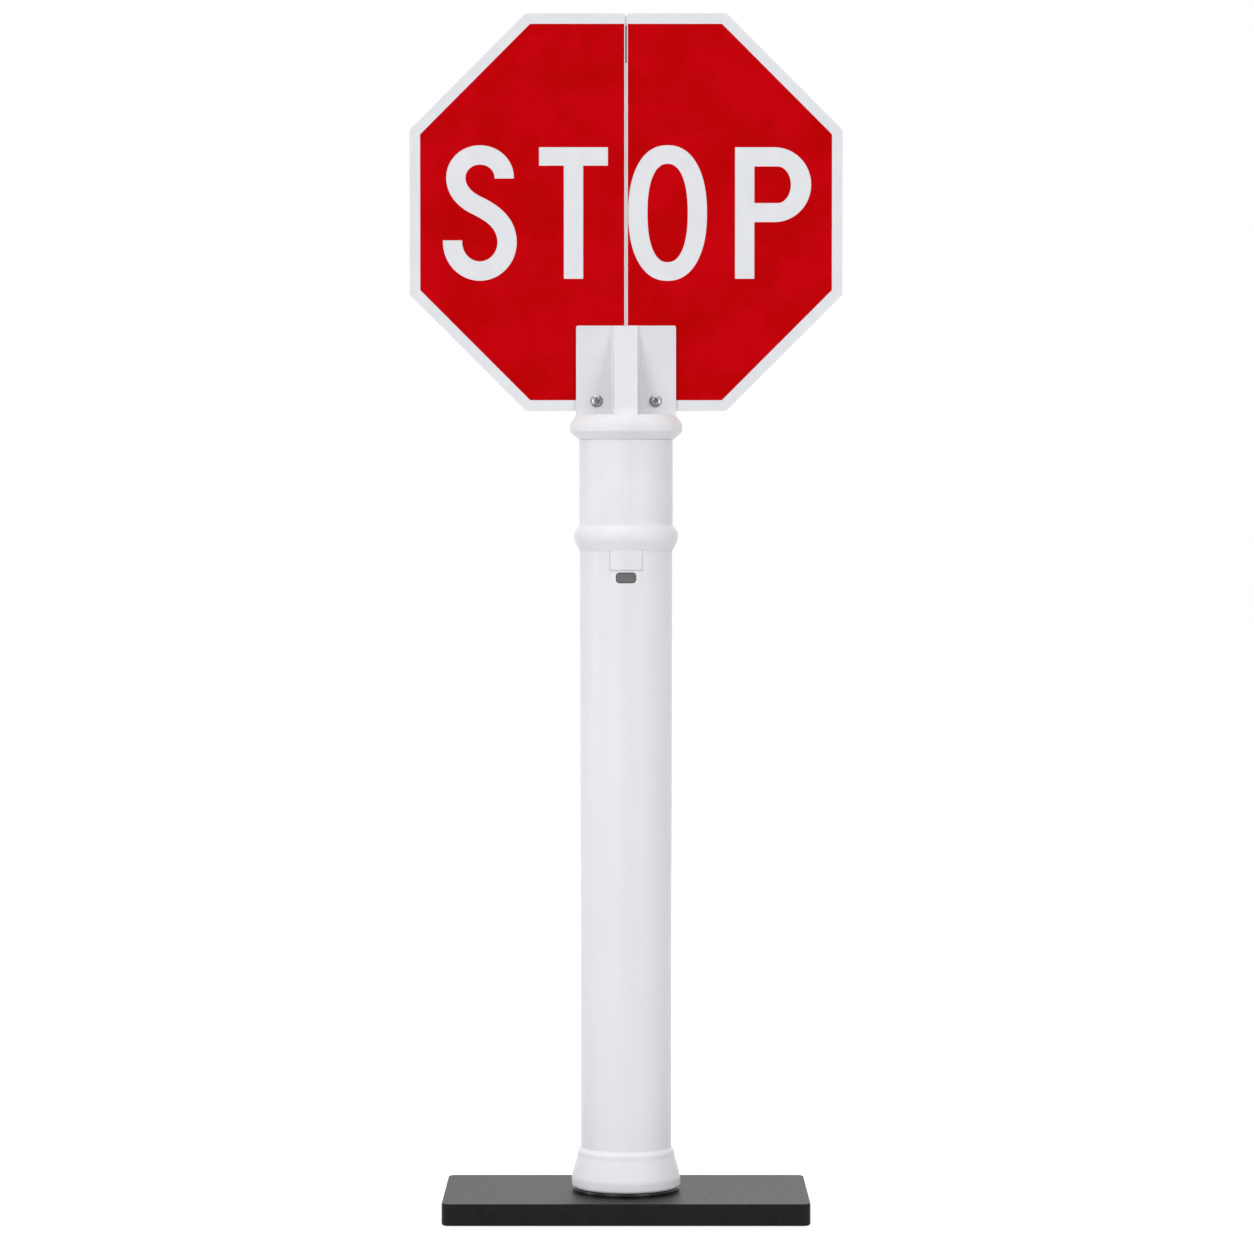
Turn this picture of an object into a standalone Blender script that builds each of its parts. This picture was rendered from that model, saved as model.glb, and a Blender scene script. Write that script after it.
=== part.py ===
"""A portable stop sign: a rubber slab, a plastic post that twists onto it, and a lift-off head with the sign.

Sizes are in metres. The sign faces -Y, +Z is up, and the origin is the middle of the slab's underside.
"""

import math

import bmesh
import bpy
from mathutils import Matrix, Vector

# Clearances
SEAT_GAP = 0.0003
SLIDE_GAP = 0.0004
SCREW_GAP = 0.0003
BOND_GAP = 0.00005

# Rubber slab
SLAB_WIDTH = 0.420
SLAB_DEPTH = 0.208
SLAB_THICKNESS = 0.0254
SLAB_CORNER = 0.009
SLAB_EDGE = 0.0015

# Post tube
TUBE_BOTTOM_RADIUS = 0.0523
TUBE_TOP_RADIUS = 0.0534
TUBE_WALL = 0.0035
TUBE_LENGTH = 0.7317

# White foot on the end of the tube
COLLAR_WALL = 0.0031
COLLAR_SLOPE = 0.005
COLLAR_BAND = 0.0055
FOOT_CONE = 0.0245
FOOT_RIM = 0.0117
FOOT_FLARE = 0.0072
FOOT_EDGE = 0.004
FOOT_SHOULDER = 0.004
FOOT_WALL = 0.0059
FOOT_SHELF = 0.004
FOOT_SHELF_REACH = 0.007

# Black hub with the bayonet
HUB_INSET = 0.0014
HUB_THICKNESS = 0.0037
HUB_WALL = 0.004
BOSS_CLEARANCE = 0.002
LUG_COUNT = 3
LUG_SPAN = math.radians(40)
LUG_REACH = 0.006
LUG_ROOT = 0.002
LUG_CLEARANCE = 0.001
HUB_LUG_HEIGHT = 0.0065
FOOT_LUG_HEIGHT = 0.0065
FOOT_LUG_RISE = 0.0065
TWIST = math.radians(45)
STOP_SPAN = math.radians(5)
STOP_GAP = math.radians(0.8)

# Bolts between hub and slab
BOLT_COUNT = 4
BOLT_INSET = 0.016
BOLT_RADIUS = 0.003
BOLT_HEAD_FLATS = 0.010
BOLT_HEAD_HEIGHT = 0.004
BOLT_TIP = 0.0015
NUT_FLATS = 0.010
NUT_HEIGHT = 0.005
NUT_COVER = 0.0012
WASHER_RADIUS = 0.009
WASHER_THICKNESS = 0.0016
COUNTERBORE_GAP = 0.001

# Dark neck inside the tube's top
NECK_WALL = 0.003
NECK_TAIL = 0.011
NECK_HEIGHT = 0.098
NECK_RING = 0.004

# Head: tongue, beads and sleeve
TONGUE_WIDTH = 0.037
TONGUE_LENGTH = 0.0244
TONGUE_PROUD = 0.0005
TONGUE_CORNER = 0.003
SOCKET_DEPTH = 0.0246
SLEEVE_STEP = 0.0005
SLEEVE_LENGTH = 0.0983
LOWER_BEAD_SKIRT = 0.0104
LOWER_BEAD_BAND = 0.0114
LOWER_BEAD_SLOPE = 0.0072
LOWER_BEAD_PROUD = 0.0064
LOWER_BEAD_EASE = 0.0009
UPPER_BEAD_SKIRT = 0.0090
UPPER_BEAD_BAND = 0.0096
UPPER_BEAD_SLOPE = 0.0096
UPPER_BEAD_PROUD = 0.0111
BEAD_SOFTNESS = 0.002
SHOULDER_STEP = 0.0037
HEAD_ROOF = 0.0035

# Front recess of the tube, window, latch button and its spring
RECESS_DEPTH = 0.0016
RECESS_BELOW_WINDOW = 0.0054
WINDOW_WIDTH = 0.0232
WINDOW_HEIGHT = 0.0125
WINDOW_CORNER = 0.0038
WINDOW_BELOW_TONGUE = 0.0016
BUTTON_RECESS = 0.0032
KEEPER_MARGIN = 0.0024
KEEPER_THICKNESS = 0.0015
SPRING_WIDTH = 0.012
SPRING_THICKNESS = 0.0006
SPRING_FOOT = 0.014
SPRING_RAMP = 0.012
RIVET_RADIUS = 0.0015
RIVET_HEAD_RADIUS = 0.003
RIVET_HEAD = 0.001

# Head: flanges and spines that hold the sign
FLANGE_HEIGHT = 0.103
FLANGE_THICKNESS = 0.0035
FLANGE_CORNER = 0.0025
SLOT_FLOOR = 0.0047
SPINE_WIDTH = 0.0266
SPINE_DRAFT = 0.004
SPINE_TOP_DEPTH = 0.0012
SPINE_WALL = 0.003
SPINE_SOLID_TOP = 0.009

# Sign
SIGN_HEIGHT = 0.4572
SIGN_WIDTH = 0.499
SIGN_CORNER = 0.006
SHEET_THICKNESS = 0.0032
SEAM_WIDTH = 0.0016
SEAM_CORNER = 0.002
BORDER = 0.0122
FILM_CORNER = 0.003
FILM_SEAM_MARGIN = 0.0023
FILM_THICKNESS = 0.0003
STRAP_WIDTH = 0.030
STRAP_HEIGHT = 0.042
STRAP_DROP = 0.0145
STRAP_THICKNESS = 0.0025
STRAP_CORNER = 0.003
BACKING_WIDTH = 0.040
BACKING_DROP = 0.0028

# Screws through the flanges
SCREW_SPREAD = 0.034
SCREW_RISE = 0.0114
SCREW_RADIUS = 0.003175
SCREW_HEAD_RADIUS = 0.00725
SCREW_HEAD_HEIGHT = 0.0032
SCREW_TIP = 0.0015
PHILLIPS_LENGTH = 0.0062
PHILLIPS_SLOT = 0.0013
PHILLIPS_DEPTH = 0.0019
SCREW_WASHER_RADIUS = 0.008
SCREW_WASHER_THICKNESS = 0.0014
SCREW_NUT_FLATS = 0.0111
SCREW_NUT_HEIGHT = 0.0055

# Foot and hub: heights and radii that follow from the sizes above
HUB_BOTTOM = SLAB_THICKNESS + SEAT_GAP
HUB_TOP = HUB_BOTTOM + HUB_THICKNESS
FOOT_BOTTOM = HUB_TOP + SEAT_GAP
FOOT_CONE_BOTTOM = FOOT_BOTTOM + FOOT_RIM
FOOT_CONE_TOP = FOOT_CONE_BOTTOM + FOOT_CONE
COLLAR_EDGE = FOOT_CONE_TOP + COLLAR_BAND
COLLAR_TOP = COLLAR_EDGE + COLLAR_SLOPE
SOCKET_RADIUS = TUBE_BOTTOM_RADIUS + SEAT_GAP
COLLAR_RADIUS = SOCKET_RADIUS + COLLAR_WALL
FOOT_RADIUS = COLLAR_RADIUS + FOOT_FLARE
FOOT_CAVITY = FOOT_RADIUS - FOOT_WALL
HUB_RADIUS = FOOT_RADIUS - HUB_INSET
LUG_TIP = FOOT_CAVITY - LUG_CLEARANCE
BOSS_RADIUS = LUG_TIP - LUG_REACH
BOSS_BORE = BOSS_RADIUS - HUB_WALL
BOLT_CIRCLE = BOSS_BORE - BOLT_INSET
FOOT_LUG_BOTTOM = FOOT_BOTTOM + FOOT_LUG_RISE
FOOT_LUG_TOP = FOOT_LUG_BOTTOM + FOOT_LUG_HEIGHT
HUB_LUG_BOTTOM = FOOT_LUG_TOP + SLIDE_GAP
BOSS_TOP = HUB_LUG_BOTTOM + HUB_LUG_HEIGHT
SHELF_BOTTOM = BOSS_TOP + BOSS_CLEARANCE
SHELF_TOP = SHELF_BOTTOM + FOOT_SHELF
NUT_BOTTOM = BOLT_TIP + NUT_COVER
NUT_TOP = NUT_BOTTOM + NUT_HEIGHT
WASHER_BOTTOM = NUT_TOP + SEAT_GAP
WASHER_TOP = WASHER_BOTTOM + WASHER_THICKNESS
COUNTERBORE_DEPTH = WASHER_TOP + SEAT_GAP

# Post and head: heights that follow
TUBE_BOTTOM = SHELF_TOP + SEAT_GAP
TUBE_TOP = TUBE_BOTTOM + TUBE_LENGTH
NECK_RING_BOTTOM = TUBE_TOP + SEAT_GAP
NECK_RING_TOP = NECK_RING_BOTTOM + NECK_RING
NECK_TOP = NECK_RING_TOP + NECK_HEIGHT
HEAD_STEP = NECK_RING_TOP + SEAT_GAP
HEAD_BOTTOM = HEAD_STEP - SOCKET_DEPTH
LOWER_CREASE = HEAD_BOTTOM + LOWER_BEAD_SKIRT
LOWER_CORNER = LOWER_CREASE + LOWER_BEAD_BAND
LOWER_BEAD_TOP = LOWER_CORNER + LOWER_BEAD_SLOPE
UPPER_BEAD_BOTTOM = LOWER_BEAD_TOP + SLEEVE_LENGTH
UPPER_CREASE = UPPER_BEAD_BOTTOM + UPPER_BEAD_SKIRT
UPPER_CORNER = UPPER_CREASE + UPPER_BEAD_BAND
HEAD_TOP = UPPER_CORNER + UPPER_BEAD_SLOPE
FLANGE_TOP = HEAD_TOP + FLANGE_HEIGHT
TONGUE_BOTTOM = HEAD_BOTTOM - TONGUE_LENGTH
WINDOW_TOP = TONGUE_BOTTOM - WINDOW_BELOW_TONGUE
WINDOW_BOTTOM = WINDOW_TOP - WINDOW_HEIGHT
RECESS_BOTTOM = WINDOW_BOTTOM - RECESS_BELOW_WINDOW
SPRING_BEND = WINDOW_BOTTOM - KEEPER_MARGIN
SPRING_HEEL = SPRING_BEND - SPRING_RAMP
SPRING_BOTTOM = SPRING_HEEL - SPRING_FOOT
RIVET_HEIGHT = (SPRING_HEEL + SPRING_BOTTOM) / 2
NECK_BOTTOM = SPRING_BOTTOM - NECK_TAIL

# Post and head: radii that follow
TUBE_TAPER = abs(TUBE_TOP_RADIUS - TUBE_BOTTOM_RADIUS) / TUBE_LENGTH
TUBE_BORE_AT_NECK = TUBE_TOP_RADIUS - TUBE_TAPER * (TUBE_TOP - NECK_BOTTOM) - TUBE_WALL
NECK_RADIUS = TUBE_BORE_AT_NECK - SEAT_GAP
NECK_BORE = NECK_RADIUS - NECK_WALL
SLEEVE_RADIUS = TUBE_TOP_RADIUS + SLEEVE_STEP
SLEEVE_BORE = NECK_RADIUS + SLIDE_GAP
HEAD_SOCKET = TUBE_TOP_RADIUS + SEAT_GAP
SHOULDER_RADIUS = SLEEVE_RADIUS + SHOULDER_STEP
RECESS_RADIUS = TUBE_TOP_RADIUS - RECESS_DEPTH
BUTTON_FACE = TUBE_TOP_RADIUS - BUTTON_RECESS
KEEPER_HALF_WIDTH = WINDOW_WIDTH / 2 + KEEPER_MARGIN
KEEPER_FACE = math.sqrt(NECK_BORE**2 - KEEPER_HALF_WIDTH**2) - SLIDE_GAP
KEEPER_BACK = KEEPER_FACE - KEEPER_THICKNESS
SPRING_FOOT_FACE = math.sqrt(NECK_BORE**2 - (SPRING_WIDTH / 2) ** 2) - SEAT_GAP

# Sign: heights and depths that follow
SLOT_BOTTOM = HEAD_TOP + SLOT_FLOOR
SIGN_BOTTOM = SLOT_BOTTOM + SEAT_GAP
SIGN_TOP = SIGN_BOTTOM + SIGN_HEIGHT
SHEET_FRONT = -SHEET_THICKNESS / 2
SHEET_BACK = SHEET_THICKNESS / 2
FILM_BACK = SHEET_FRONT - BOND_GAP
FILM_FRONT = FILM_BACK - FILM_THICKNESS
SLOT_FRONT = FILM_FRONT - SEAT_GAP
SLOT_BACK = SHEET_BACK + SEAT_GAP
FLANGE_FRONT = SLOT_FRONT - FLANGE_THICKNESS
FLANGE_BACK = SLOT_BACK + FLANGE_THICKNESS
SCREW_HEIGHT = SLOT_BOTTOM + SCREW_RISE

# Fineness of the round shapes, and how far a cutter runs past what it cuts
ROUND = 48
SMALL_ROUND = 20
ARC_STEPS = 3
DOME_STEPS = 4
MERGE = 0.000001
SHARP = math.radians(35)
BEYOND = 0.004

# Colour, roughness and metallic value of each finish
FINISHES = {
    "white_plastic": ((0.80, 0.81, 0.84), 0.42, 0.0),
    "white_sheet": ((0.82, 0.83, 0.86), 0.5, 0.0),
    "red_film": ((0.56, 0.002, 0.004), 0.35, 0.0),
    "black_rubber": ((0.02, 0.02, 0.021), 0.62, 0.0),
    "black_plastic": ((0.012, 0.012, 0.013), 0.25, 0.0),
    "grey_plastic": ((0.10, 0.10, 0.10), 0.5, 0.0),
    "zinc_steel": ((0.55, 0.56, 0.58), 0.3, 1.0),
    "spring_steel": ((0.42, 0.43, 0.45), 0.35, 1.0),
}


def clear_scene():
    for obj in list(bpy.data.objects):
        bpy.data.objects.remove(obj, do_unlink=True)


def finish(name):
    """The material of a finish, made on first use."""
    material = bpy.data.materials.get(name)
    if material is None:
        colour, roughness, metallic = FINISHES[name]
        material = bpy.data.materials.new(name)
        material.use_nodes = True
        shader = material.node_tree.nodes["Principled BSDF"]
        shader.inputs["Base Color"].default_value = (*colour, 1.0)
        shader.inputs["Roughness"].default_value = roughness
        shader.inputs["Metallic"].default_value = metallic
        material.diffuse_color = (*colour, 1.0)
    return material


def placed(name, mesh, parent=None, location=(0, 0, 0)):
    """An object that shows a mesh at a place in the world, carried by its parent."""
    obj = bpy.data.objects.new(name, mesh)
    bpy.context.scene.collection.objects.link(obj)
    obj.location = location
    if parent is not None:
        bpy.context.view_layer.update()
        obj.parent = parent
        obj.matrix_parent_inverse = parent.matrix_world.inverted()
    return obj


def piece(name, bm, finish_name, parent=None, location=(0, 0, 0)):
    """An object from a bmesh, with its faces out, its finish, its place and its parent."""
    bmesh.ops.remove_doubles(bm, verts=bm.verts, dist=MERGE)
    bmesh.ops.recalc_face_normals(bm, faces=bm.faces)
    mesh = bpy.data.meshes.new(name)
    bm.to_mesh(mesh)
    bm.free()
    mesh.shade_smooth()
    mesh.set_sharp_from_angle(angle=SHARP)
    mesh.materials.append(finish(finish_name))
    return placed(name, mesh, parent, location)


def combine(target, operation, name, bm):
    """Adds a Boolean to an object, with a helper solid that isn't rendered."""
    tool = piece(name, bm, target.data.materials[0].name)
    tool.hide_render = True
    tool.display_type = "WIRE"
    modifier = target.modifiers.new(name, "BOOLEAN")
    modifier.solver = "EXACT"
    modifier.operation = operation
    modifier.object = tool
    return tool


def cut(target, name, bm):
    return combine(target, "DIFFERENCE", name, bm)


def join(target, name, bm):
    return combine(target, "UNION", name, bm)


def crisp_edges():
    """A node group that shades a mesh smooth but for its sharp edges, also those that a Boolean makes."""
    group = bpy.data.node_groups.new("crisp_edges", "GeometryNodeTree")
    group.interface.new_socket("Geometry", in_out="INPUT", socket_type="NodeSocketGeometry")
    group.interface.new_socket("Geometry", in_out="OUTPUT", socket_type="NodeSocketGeometry")
    nodes, links = group.nodes, group.links
    start, end = nodes.new("NodeGroupInput"), nodes.new("NodeGroupOutput")
    angle = nodes.new("GeometryNodeInputMeshEdgeAngle")
    steep = nodes.new("FunctionNodeCompare")
    steep.operation = "GREATER_THAN"
    steep.inputs["B"].default_value = SHARP
    faces, edges = (nodes.new("GeometryNodeSetShadeSmooth") for _ in range(2))
    edges.domain = "EDGE"
    edges.inputs["Shade Smooth"].default_value = False
    links.new(start.outputs[0], faces.inputs["Geometry"])
    links.new(faces.outputs[0], edges.inputs["Geometry"])
    links.new(angle.outputs["Unsigned Angle"], steep.inputs["A"])
    links.new(steep.outputs[0], edges.inputs["Selection"])
    links.new(edges.outputs[0], end.inputs[0])
    return group


def shade_crisply():
    group = crisp_edges()
    for obj in bpy.data.objects:
        if obj.type == "MESH" and not obj.hide_render:
            obj.modifiers.new("crisp_edges", "NODES").node_group = group


def rounded(corners):
    """The points of a closed outline of (x, y, radius) corners, with an arc at each radius."""
    points = []
    for i, (x, y, radius) in enumerate(corners):
        here = Vector((x, y))
        if radius <= 0:
            points.append(here)
            continue
        before = (Vector(corners[i - 1][:2]) - here).normalized()
        after = (Vector(corners[(i + 1) % len(corners)][:2]) - here).normalized()
        half_angle = before.angle(after) / 2
        centre = here + (before + after).normalized() * radius / math.sin(half_angle)
        start = (here + before * radius / math.tan(half_angle) - centre).normalized()
        end = (here + after * radius / math.tan(half_angle) - centre).normalized()
        points += [centre + start.slerp(end, k / ARC_STEPS) * radius for k in range(ARC_STEPS + 1)]
    return points


def lathe(outline, steps=ROUND):
    """A solid turned about Z from (radius, height) points. An outline that starts on the axis ends on it."""
    bm = bmesh.new()
    points = [bm.verts.new((radius, 0, height)) for radius, height in outline]
    pairs = list(zip(points, points[1:]))
    if outline[0][0] > 0:
        pairs.append((points[-1], points[0]))
    edges = [bm.edges.new(pair) for pair in pairs]
    bmesh.ops.spin(
        bm, geom=points + edges, axis=(0, 0, 1), cent=(0, 0, 0), angle=math.tau, steps=steps, use_merge=True
    )
    return bm


def ring(inner, outer, low, high, steps=ROUND):
    return lathe([(inner, low), (outer, low), (outer, high), (inner, high)], steps)


def cylinder(radius, low, high, steps=SMALL_ROUND):
    return lathe([(0, low), (radius, low), (radius, high), (0, high)], steps)


def hexagon(flats, low, high):
    return cylinder(flats / math.sqrt(3), low, high, 6)


def prism(outline, low, high):
    """A flat outline in XY, given thickness along Z."""
    bm = bmesh.new()
    face = bm.faces.new([bm.verts.new((x, y, low)) for x, y in outline])
    grown = bmesh.ops.extrude_face_region(bm, geom=[face])["geom"]
    far_points = [item for item in grown if isinstance(item, bmesh.types.BMVert)]
    bmesh.ops.translate(bm, verts=far_points, vec=(0, 0, high - low))
    return bm


def upright(bm):
    """Turns a solid's XY outline into XZ, and its thickness from Z to Y."""
    swap = Matrix(((1, 0, 0, 0), (0, 0, 1, 0), (0, 1, 0, 0), (0, 0, 0, 1)))
    bmesh.ops.transform(bm, matrix=swap, verts=bm.verts)
    return bm


def sideways(bm):
    """Turns a solid's XY outline into YZ, and its thickness from Z to X."""
    turn = Matrix(((0, 0, 1, 0), (1, 0, 0, 0), (0, 1, 0, 0), (0, 0, 0, 1)))
    bmesh.ops.transform(bm, matrix=turn, verts=bm.verts)
    return bm


def moved(bm, offset):
    bmesh.ops.translate(bm, vec=offset, verts=bm.verts)
    return bm


def box(low, high):
    bm = bmesh.new()
    bmesh.ops.create_cube(bm, size=1)
    bmesh.ops.scale(bm, vec=Vector(high) - Vector(low), verts=bm.verts)
    return moved(bm, (Vector(high) + Vector(low)) / 2)


def merged(solids):
    """One bmesh that holds several."""
    whole = bmesh.new()
    mesh = bpy.data.meshes.new("one_of_several")
    for solid in solids:
        solid.to_mesh(mesh)
        solid.free()
        whole.from_mesh(mesh)
    bpy.data.meshes.remove(mesh)
    return whole


def rectangle(half_width, low, high, radius):
    """A rectangle centred on X, with round corners."""
    corners = ((-half_width, low), (half_width, low), (half_width, high), (-half_width, high))
    return rounded([(x, y, radius) for x, y in corners])


def sector(inner, outer, low, high, middle, span):
    """A slice of a ring, as a bayonet lug is."""
    steps = max(1, round(span / math.tau * ROUND))
    angles = [middle + span * (k / steps - 0.5) for k in range(steps + 1)]
    outline = [(inner * math.cos(a), inner * math.sin(a)) for a in angles]
    outline += [(outer * math.cos(a), outer * math.sin(a)) for a in reversed(angles)]
    return prism(outline, low, high)


def lug_angles():
    return [math.tau * i / LUG_COUNT - math.pi / 2 for i in range(LUG_COUNT)]


def bolt_places():
    angles = [math.tau * (i + 0.5) / BOLT_COUNT for i in range(BOLT_COUNT)]
    return [(BOLT_CIRCLE * math.cos(a), BOLT_CIRCLE * math.sin(a)) for a in angles]


def base_slab():
    outline = rectangle(SLAB_WIDTH / 2, -SLAB_DEPTH / 2, SLAB_DEPTH / 2, SLAB_CORNER)
    slab = piece("base_slab", prism(outline, 0, SLAB_THICKNESS), "black_rubber")
    edge = slab.modifiers.new("edge", "BEVEL")
    edge.width = SLAB_EDGE
    edge.segments = 2
    edge.limit_method = "ANGLE"
    edge.angle_limit = math.radians(60)
    hole = BOLT_RADIUS + SCREW_GAP
    pocket = WASHER_RADIUS + COUNTERBORE_GAP
    stepped = [(0, -BEYOND), (pocket, -BEYOND), (pocket, COUNTERBORE_DEPTH), (hole, COUNTERBORE_DEPTH)]
    stepped += [(hole, SLAB_THICKNESS + BEYOND), (0, SLAB_THICKNESS + BEYOND)]
    holes = [moved(lathe(stepped, SMALL_ROUND), (x, y, 0)) for x, y in bolt_places()]
    cut(slab, "slab_bolt_holes", merged(holes))


def base_hub():
    """The disc that is bolted to the slab, with a round boss, its bayonet lugs and their end stops."""
    outline = [(0, HUB_BOTTOM), (HUB_RADIUS, HUB_BOTTOM), (HUB_RADIUS, HUB_TOP), (BOSS_RADIUS, HUB_TOP)]
    outline += [(BOSS_RADIUS, BOSS_TOP), (BOSS_BORE, BOSS_TOP), (BOSS_BORE, HUB_TOP), (0, HUB_TOP)]
    hub = piece("base_hub", lathe(outline), "black_plastic")
    root = BOSS_RADIUS - LUG_ROOT
    stop_bottom = HUB_TOP - HUB_THICKNESS / 2
    stop_lead = (LUG_SPAN + STOP_SPAN) / 2 + STOP_GAP
    for i, angle in enumerate(lug_angles(), start=1):
        join(hub, f"hub_lug_{i}", sector(root, LUG_TIP, HUB_LUG_BOTTOM, BOSS_TOP, angle, LUG_SPAN))
        for word, stop_angle in (("locked", angle - stop_lead), ("open", angle + TWIST + stop_lead)):
            stop = sector(root, LUG_TIP, stop_bottom, BOSS_TOP, stop_angle, STOP_SPAN)
            join(hub, f"{word}_stop_{i}", stop)
    hole = BOLT_RADIUS + SCREW_GAP
    low, high = HUB_BOTTOM - BEYOND, HUB_TOP + BEYOND
    holes = [moved(cylinder(hole, low, high), (x, y, 0)) for x, y in bolt_places()]
    cut(hub, "hub_bolt_holes", merged(holes))


def hub_fasteners():
    """Bolts from above, with their washers and nuts in the slab's counterbores."""
    head_seat = HUB_TOP + SEAT_GAP
    hole = BOLT_RADIUS + SCREW_GAP
    for i, (x, y) in enumerate(bolt_places(), start=1):
        place = (x, y, 0)
        shank = cylinder(BOLT_RADIUS, NUT_BOTTOM - BOLT_TIP, head_seat + BOLT_HEAD_HEIGHT / 2)
        bolt = piece(f"hub_bolt_{i}", shank, "zinc_steel", location=place)
        head = hexagon(BOLT_HEAD_FLATS, head_seat, head_seat + BOLT_HEAD_HEIGHT)
        join(bolt, f"hub_bolt_head_{i}", head).location = place
        washer = ring(hole, WASHER_RADIUS, WASHER_BOTTOM, WASHER_TOP, SMALL_ROUND)
        piece(f"hub_washer_{i}", washer, "zinc_steel", location=place)
        nut = piece(f"hub_nut_{i}", hexagon(NUT_FLATS, NUT_BOTTOM, NUT_TOP), "zinc_steel", location=place)
        bore = cylinder(hole, NUT_BOTTOM - BEYOND, NUT_TOP + BEYOND)
        cut(nut, f"hub_nut_bore_{i}", bore).location = place


def foot_skirt(parent):
    """The bell-shaped foot: a socket for the tube above a shelf, and the bayonet's cavity below it."""
    corners = [
        (FOOT_CAVITY, FOOT_BOTTOM, 0),
        (FOOT_RADIUS, FOOT_BOTTOM, FOOT_EDGE),
        (FOOT_RADIUS, FOOT_CONE_BOTTOM, FOOT_SHOULDER),
        (COLLAR_RADIUS, FOOT_CONE_TOP, 0),
        (COLLAR_RADIUS, COLLAR_EDGE, 0),
        (SOCKET_RADIUS, COLLAR_TOP, 0),
        (SOCKET_RADIUS, SHELF_TOP, 0),
        (SOCKET_RADIUS - FOOT_SHELF_REACH, SHELF_TOP, 0),
        (SOCKET_RADIUS - FOOT_SHELF_REACH, SHELF_BOTTOM, 0),
        (FOOT_CAVITY, SHELF_BOTTOM, 0),
    ]
    skirt = piece("foot_skirt", lathe(rounded(corners)), "white_plastic", parent)
    for i, angle in enumerate(lug_angles(), start=1):
        inner, outer = BOSS_RADIUS + SLIDE_GAP, FOOT_CAVITY + LUG_ROOT
        join(skirt, f"foot_lug_{i}", sector(inner, outer, FOOT_LUG_BOTTOM, FOOT_LUG_TOP, angle, LUG_SPAN))


def cut_recess(target, name):
    """The front recess in which the head's tongue slides, open at the tube's top."""
    outer = TUBE_TOP_RADIUS + BEYOND
    tool = cut(target, name, ring(RECESS_RADIUS, outer, RECESS_BOTTOM - BEYOND, NECK_RING_TOP + BEYOND))
    half_width = TONGUE_WIDTH / 2 + SLIDE_GAP
    outline = rectangle(half_width, RECESS_BOTTOM, NECK_RING_TOP + 2 * BEYOND, TONGUE_CORNER)
    combine(tool, "INTERSECT", name + "_outline", upright(prism(outline, -outer - BEYOND, 0)))


def cut_window(target, name):
    outline = rectangle(WINDOW_WIDTH / 2, WINDOW_BOTTOM, WINDOW_TOP, WINDOW_CORNER)
    cut(target, name, upright(prism(outline, -TUBE_TOP_RADIUS - BEYOND, -NECK_BORE / 2)))


def post_tube(parent):
    outline = [
        (TUBE_BOTTOM_RADIUS - TUBE_WALL, TUBE_BOTTOM),
        (TUBE_BOTTOM_RADIUS, TUBE_BOTTOM),
        (TUBE_TOP_RADIUS, TUBE_TOP),
        (TUBE_TOP_RADIUS - TUBE_WALL, TUBE_TOP),
    ]
    tube = piece("post_tube", lathe(outline), "white_plastic", parent)
    cut_recess(tube, "tube_recess")
    cut_window(tube, "tube_window")


def neck_coupler(parent):
    """The dark sleeve in the tube's top, with the ring that sits on the tube and the neck for the head."""
    ring_radius = TUBE_TOP_RADIUS - SEAT_GAP
    outline = [
        (NECK_BORE, NECK_BOTTOM),
        (NECK_RADIUS, NECK_BOTTOM),
        (NECK_RADIUS, NECK_RING_BOTTOM),
        (ring_radius, NECK_RING_BOTTOM),
        (ring_radius, NECK_RING_TOP),
        (NECK_RADIUS, NECK_RING_TOP),
        (NECK_RADIUS, NECK_TOP),
        (NECK_BORE, NECK_TOP),
    ]
    coupler = piece("neck_coupler", lathe(outline), "grey_plastic", parent)
    cut_recess(coupler, "coupler_recess")
    cut_window(coupler, "coupler_window")
    outside = -NECK_RADIUS - BEYOND
    hole = upright(cylinder(RIVET_RADIUS + SCREW_GAP, outside, -NECK_BORE / 2))
    cut(coupler, "rivet_hole", moved(hole, (0, 0, RIVET_HEIGHT)))
    sink = upright(cylinder(RIVET_HEAD_RADIUS + SCREW_GAP, outside, RIVET_HEAD + 2 * SEAT_GAP - NECK_RADIUS))
    cut(coupler, "rivet_sink", moved(sink, (0, 0, RIVET_HEIGHT)))


def latch_button(parent):
    """The button fills both windows, and a wider keeper plate behind stops it from coming out."""
    half_width = WINDOW_WIDTH / 2 - SEAT_GAP
    low, high = WINDOW_BOTTOM + SEAT_GAP, WINDOW_TOP - SEAT_GAP
    outline = rectangle(half_width, low, high, WINDOW_CORNER - SEAT_GAP)
    block = upright(prism(outline, -BUTTON_FACE, -KEEPER_BACK))
    button = piece("latch_button", block, "grey_plastic", parent)
    low, high = WINDOW_BOTTOM - KEEPER_MARGIN, WINDOW_TOP + KEEPER_MARGIN
    keeper = rectangle(KEEPER_HALF_WIDTH, low, high, WINDOW_CORNER)
    join(button, "latch_keeper", upright(prism(keeper, -KEEPER_FACE, -KEEPER_BACK)))


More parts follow.
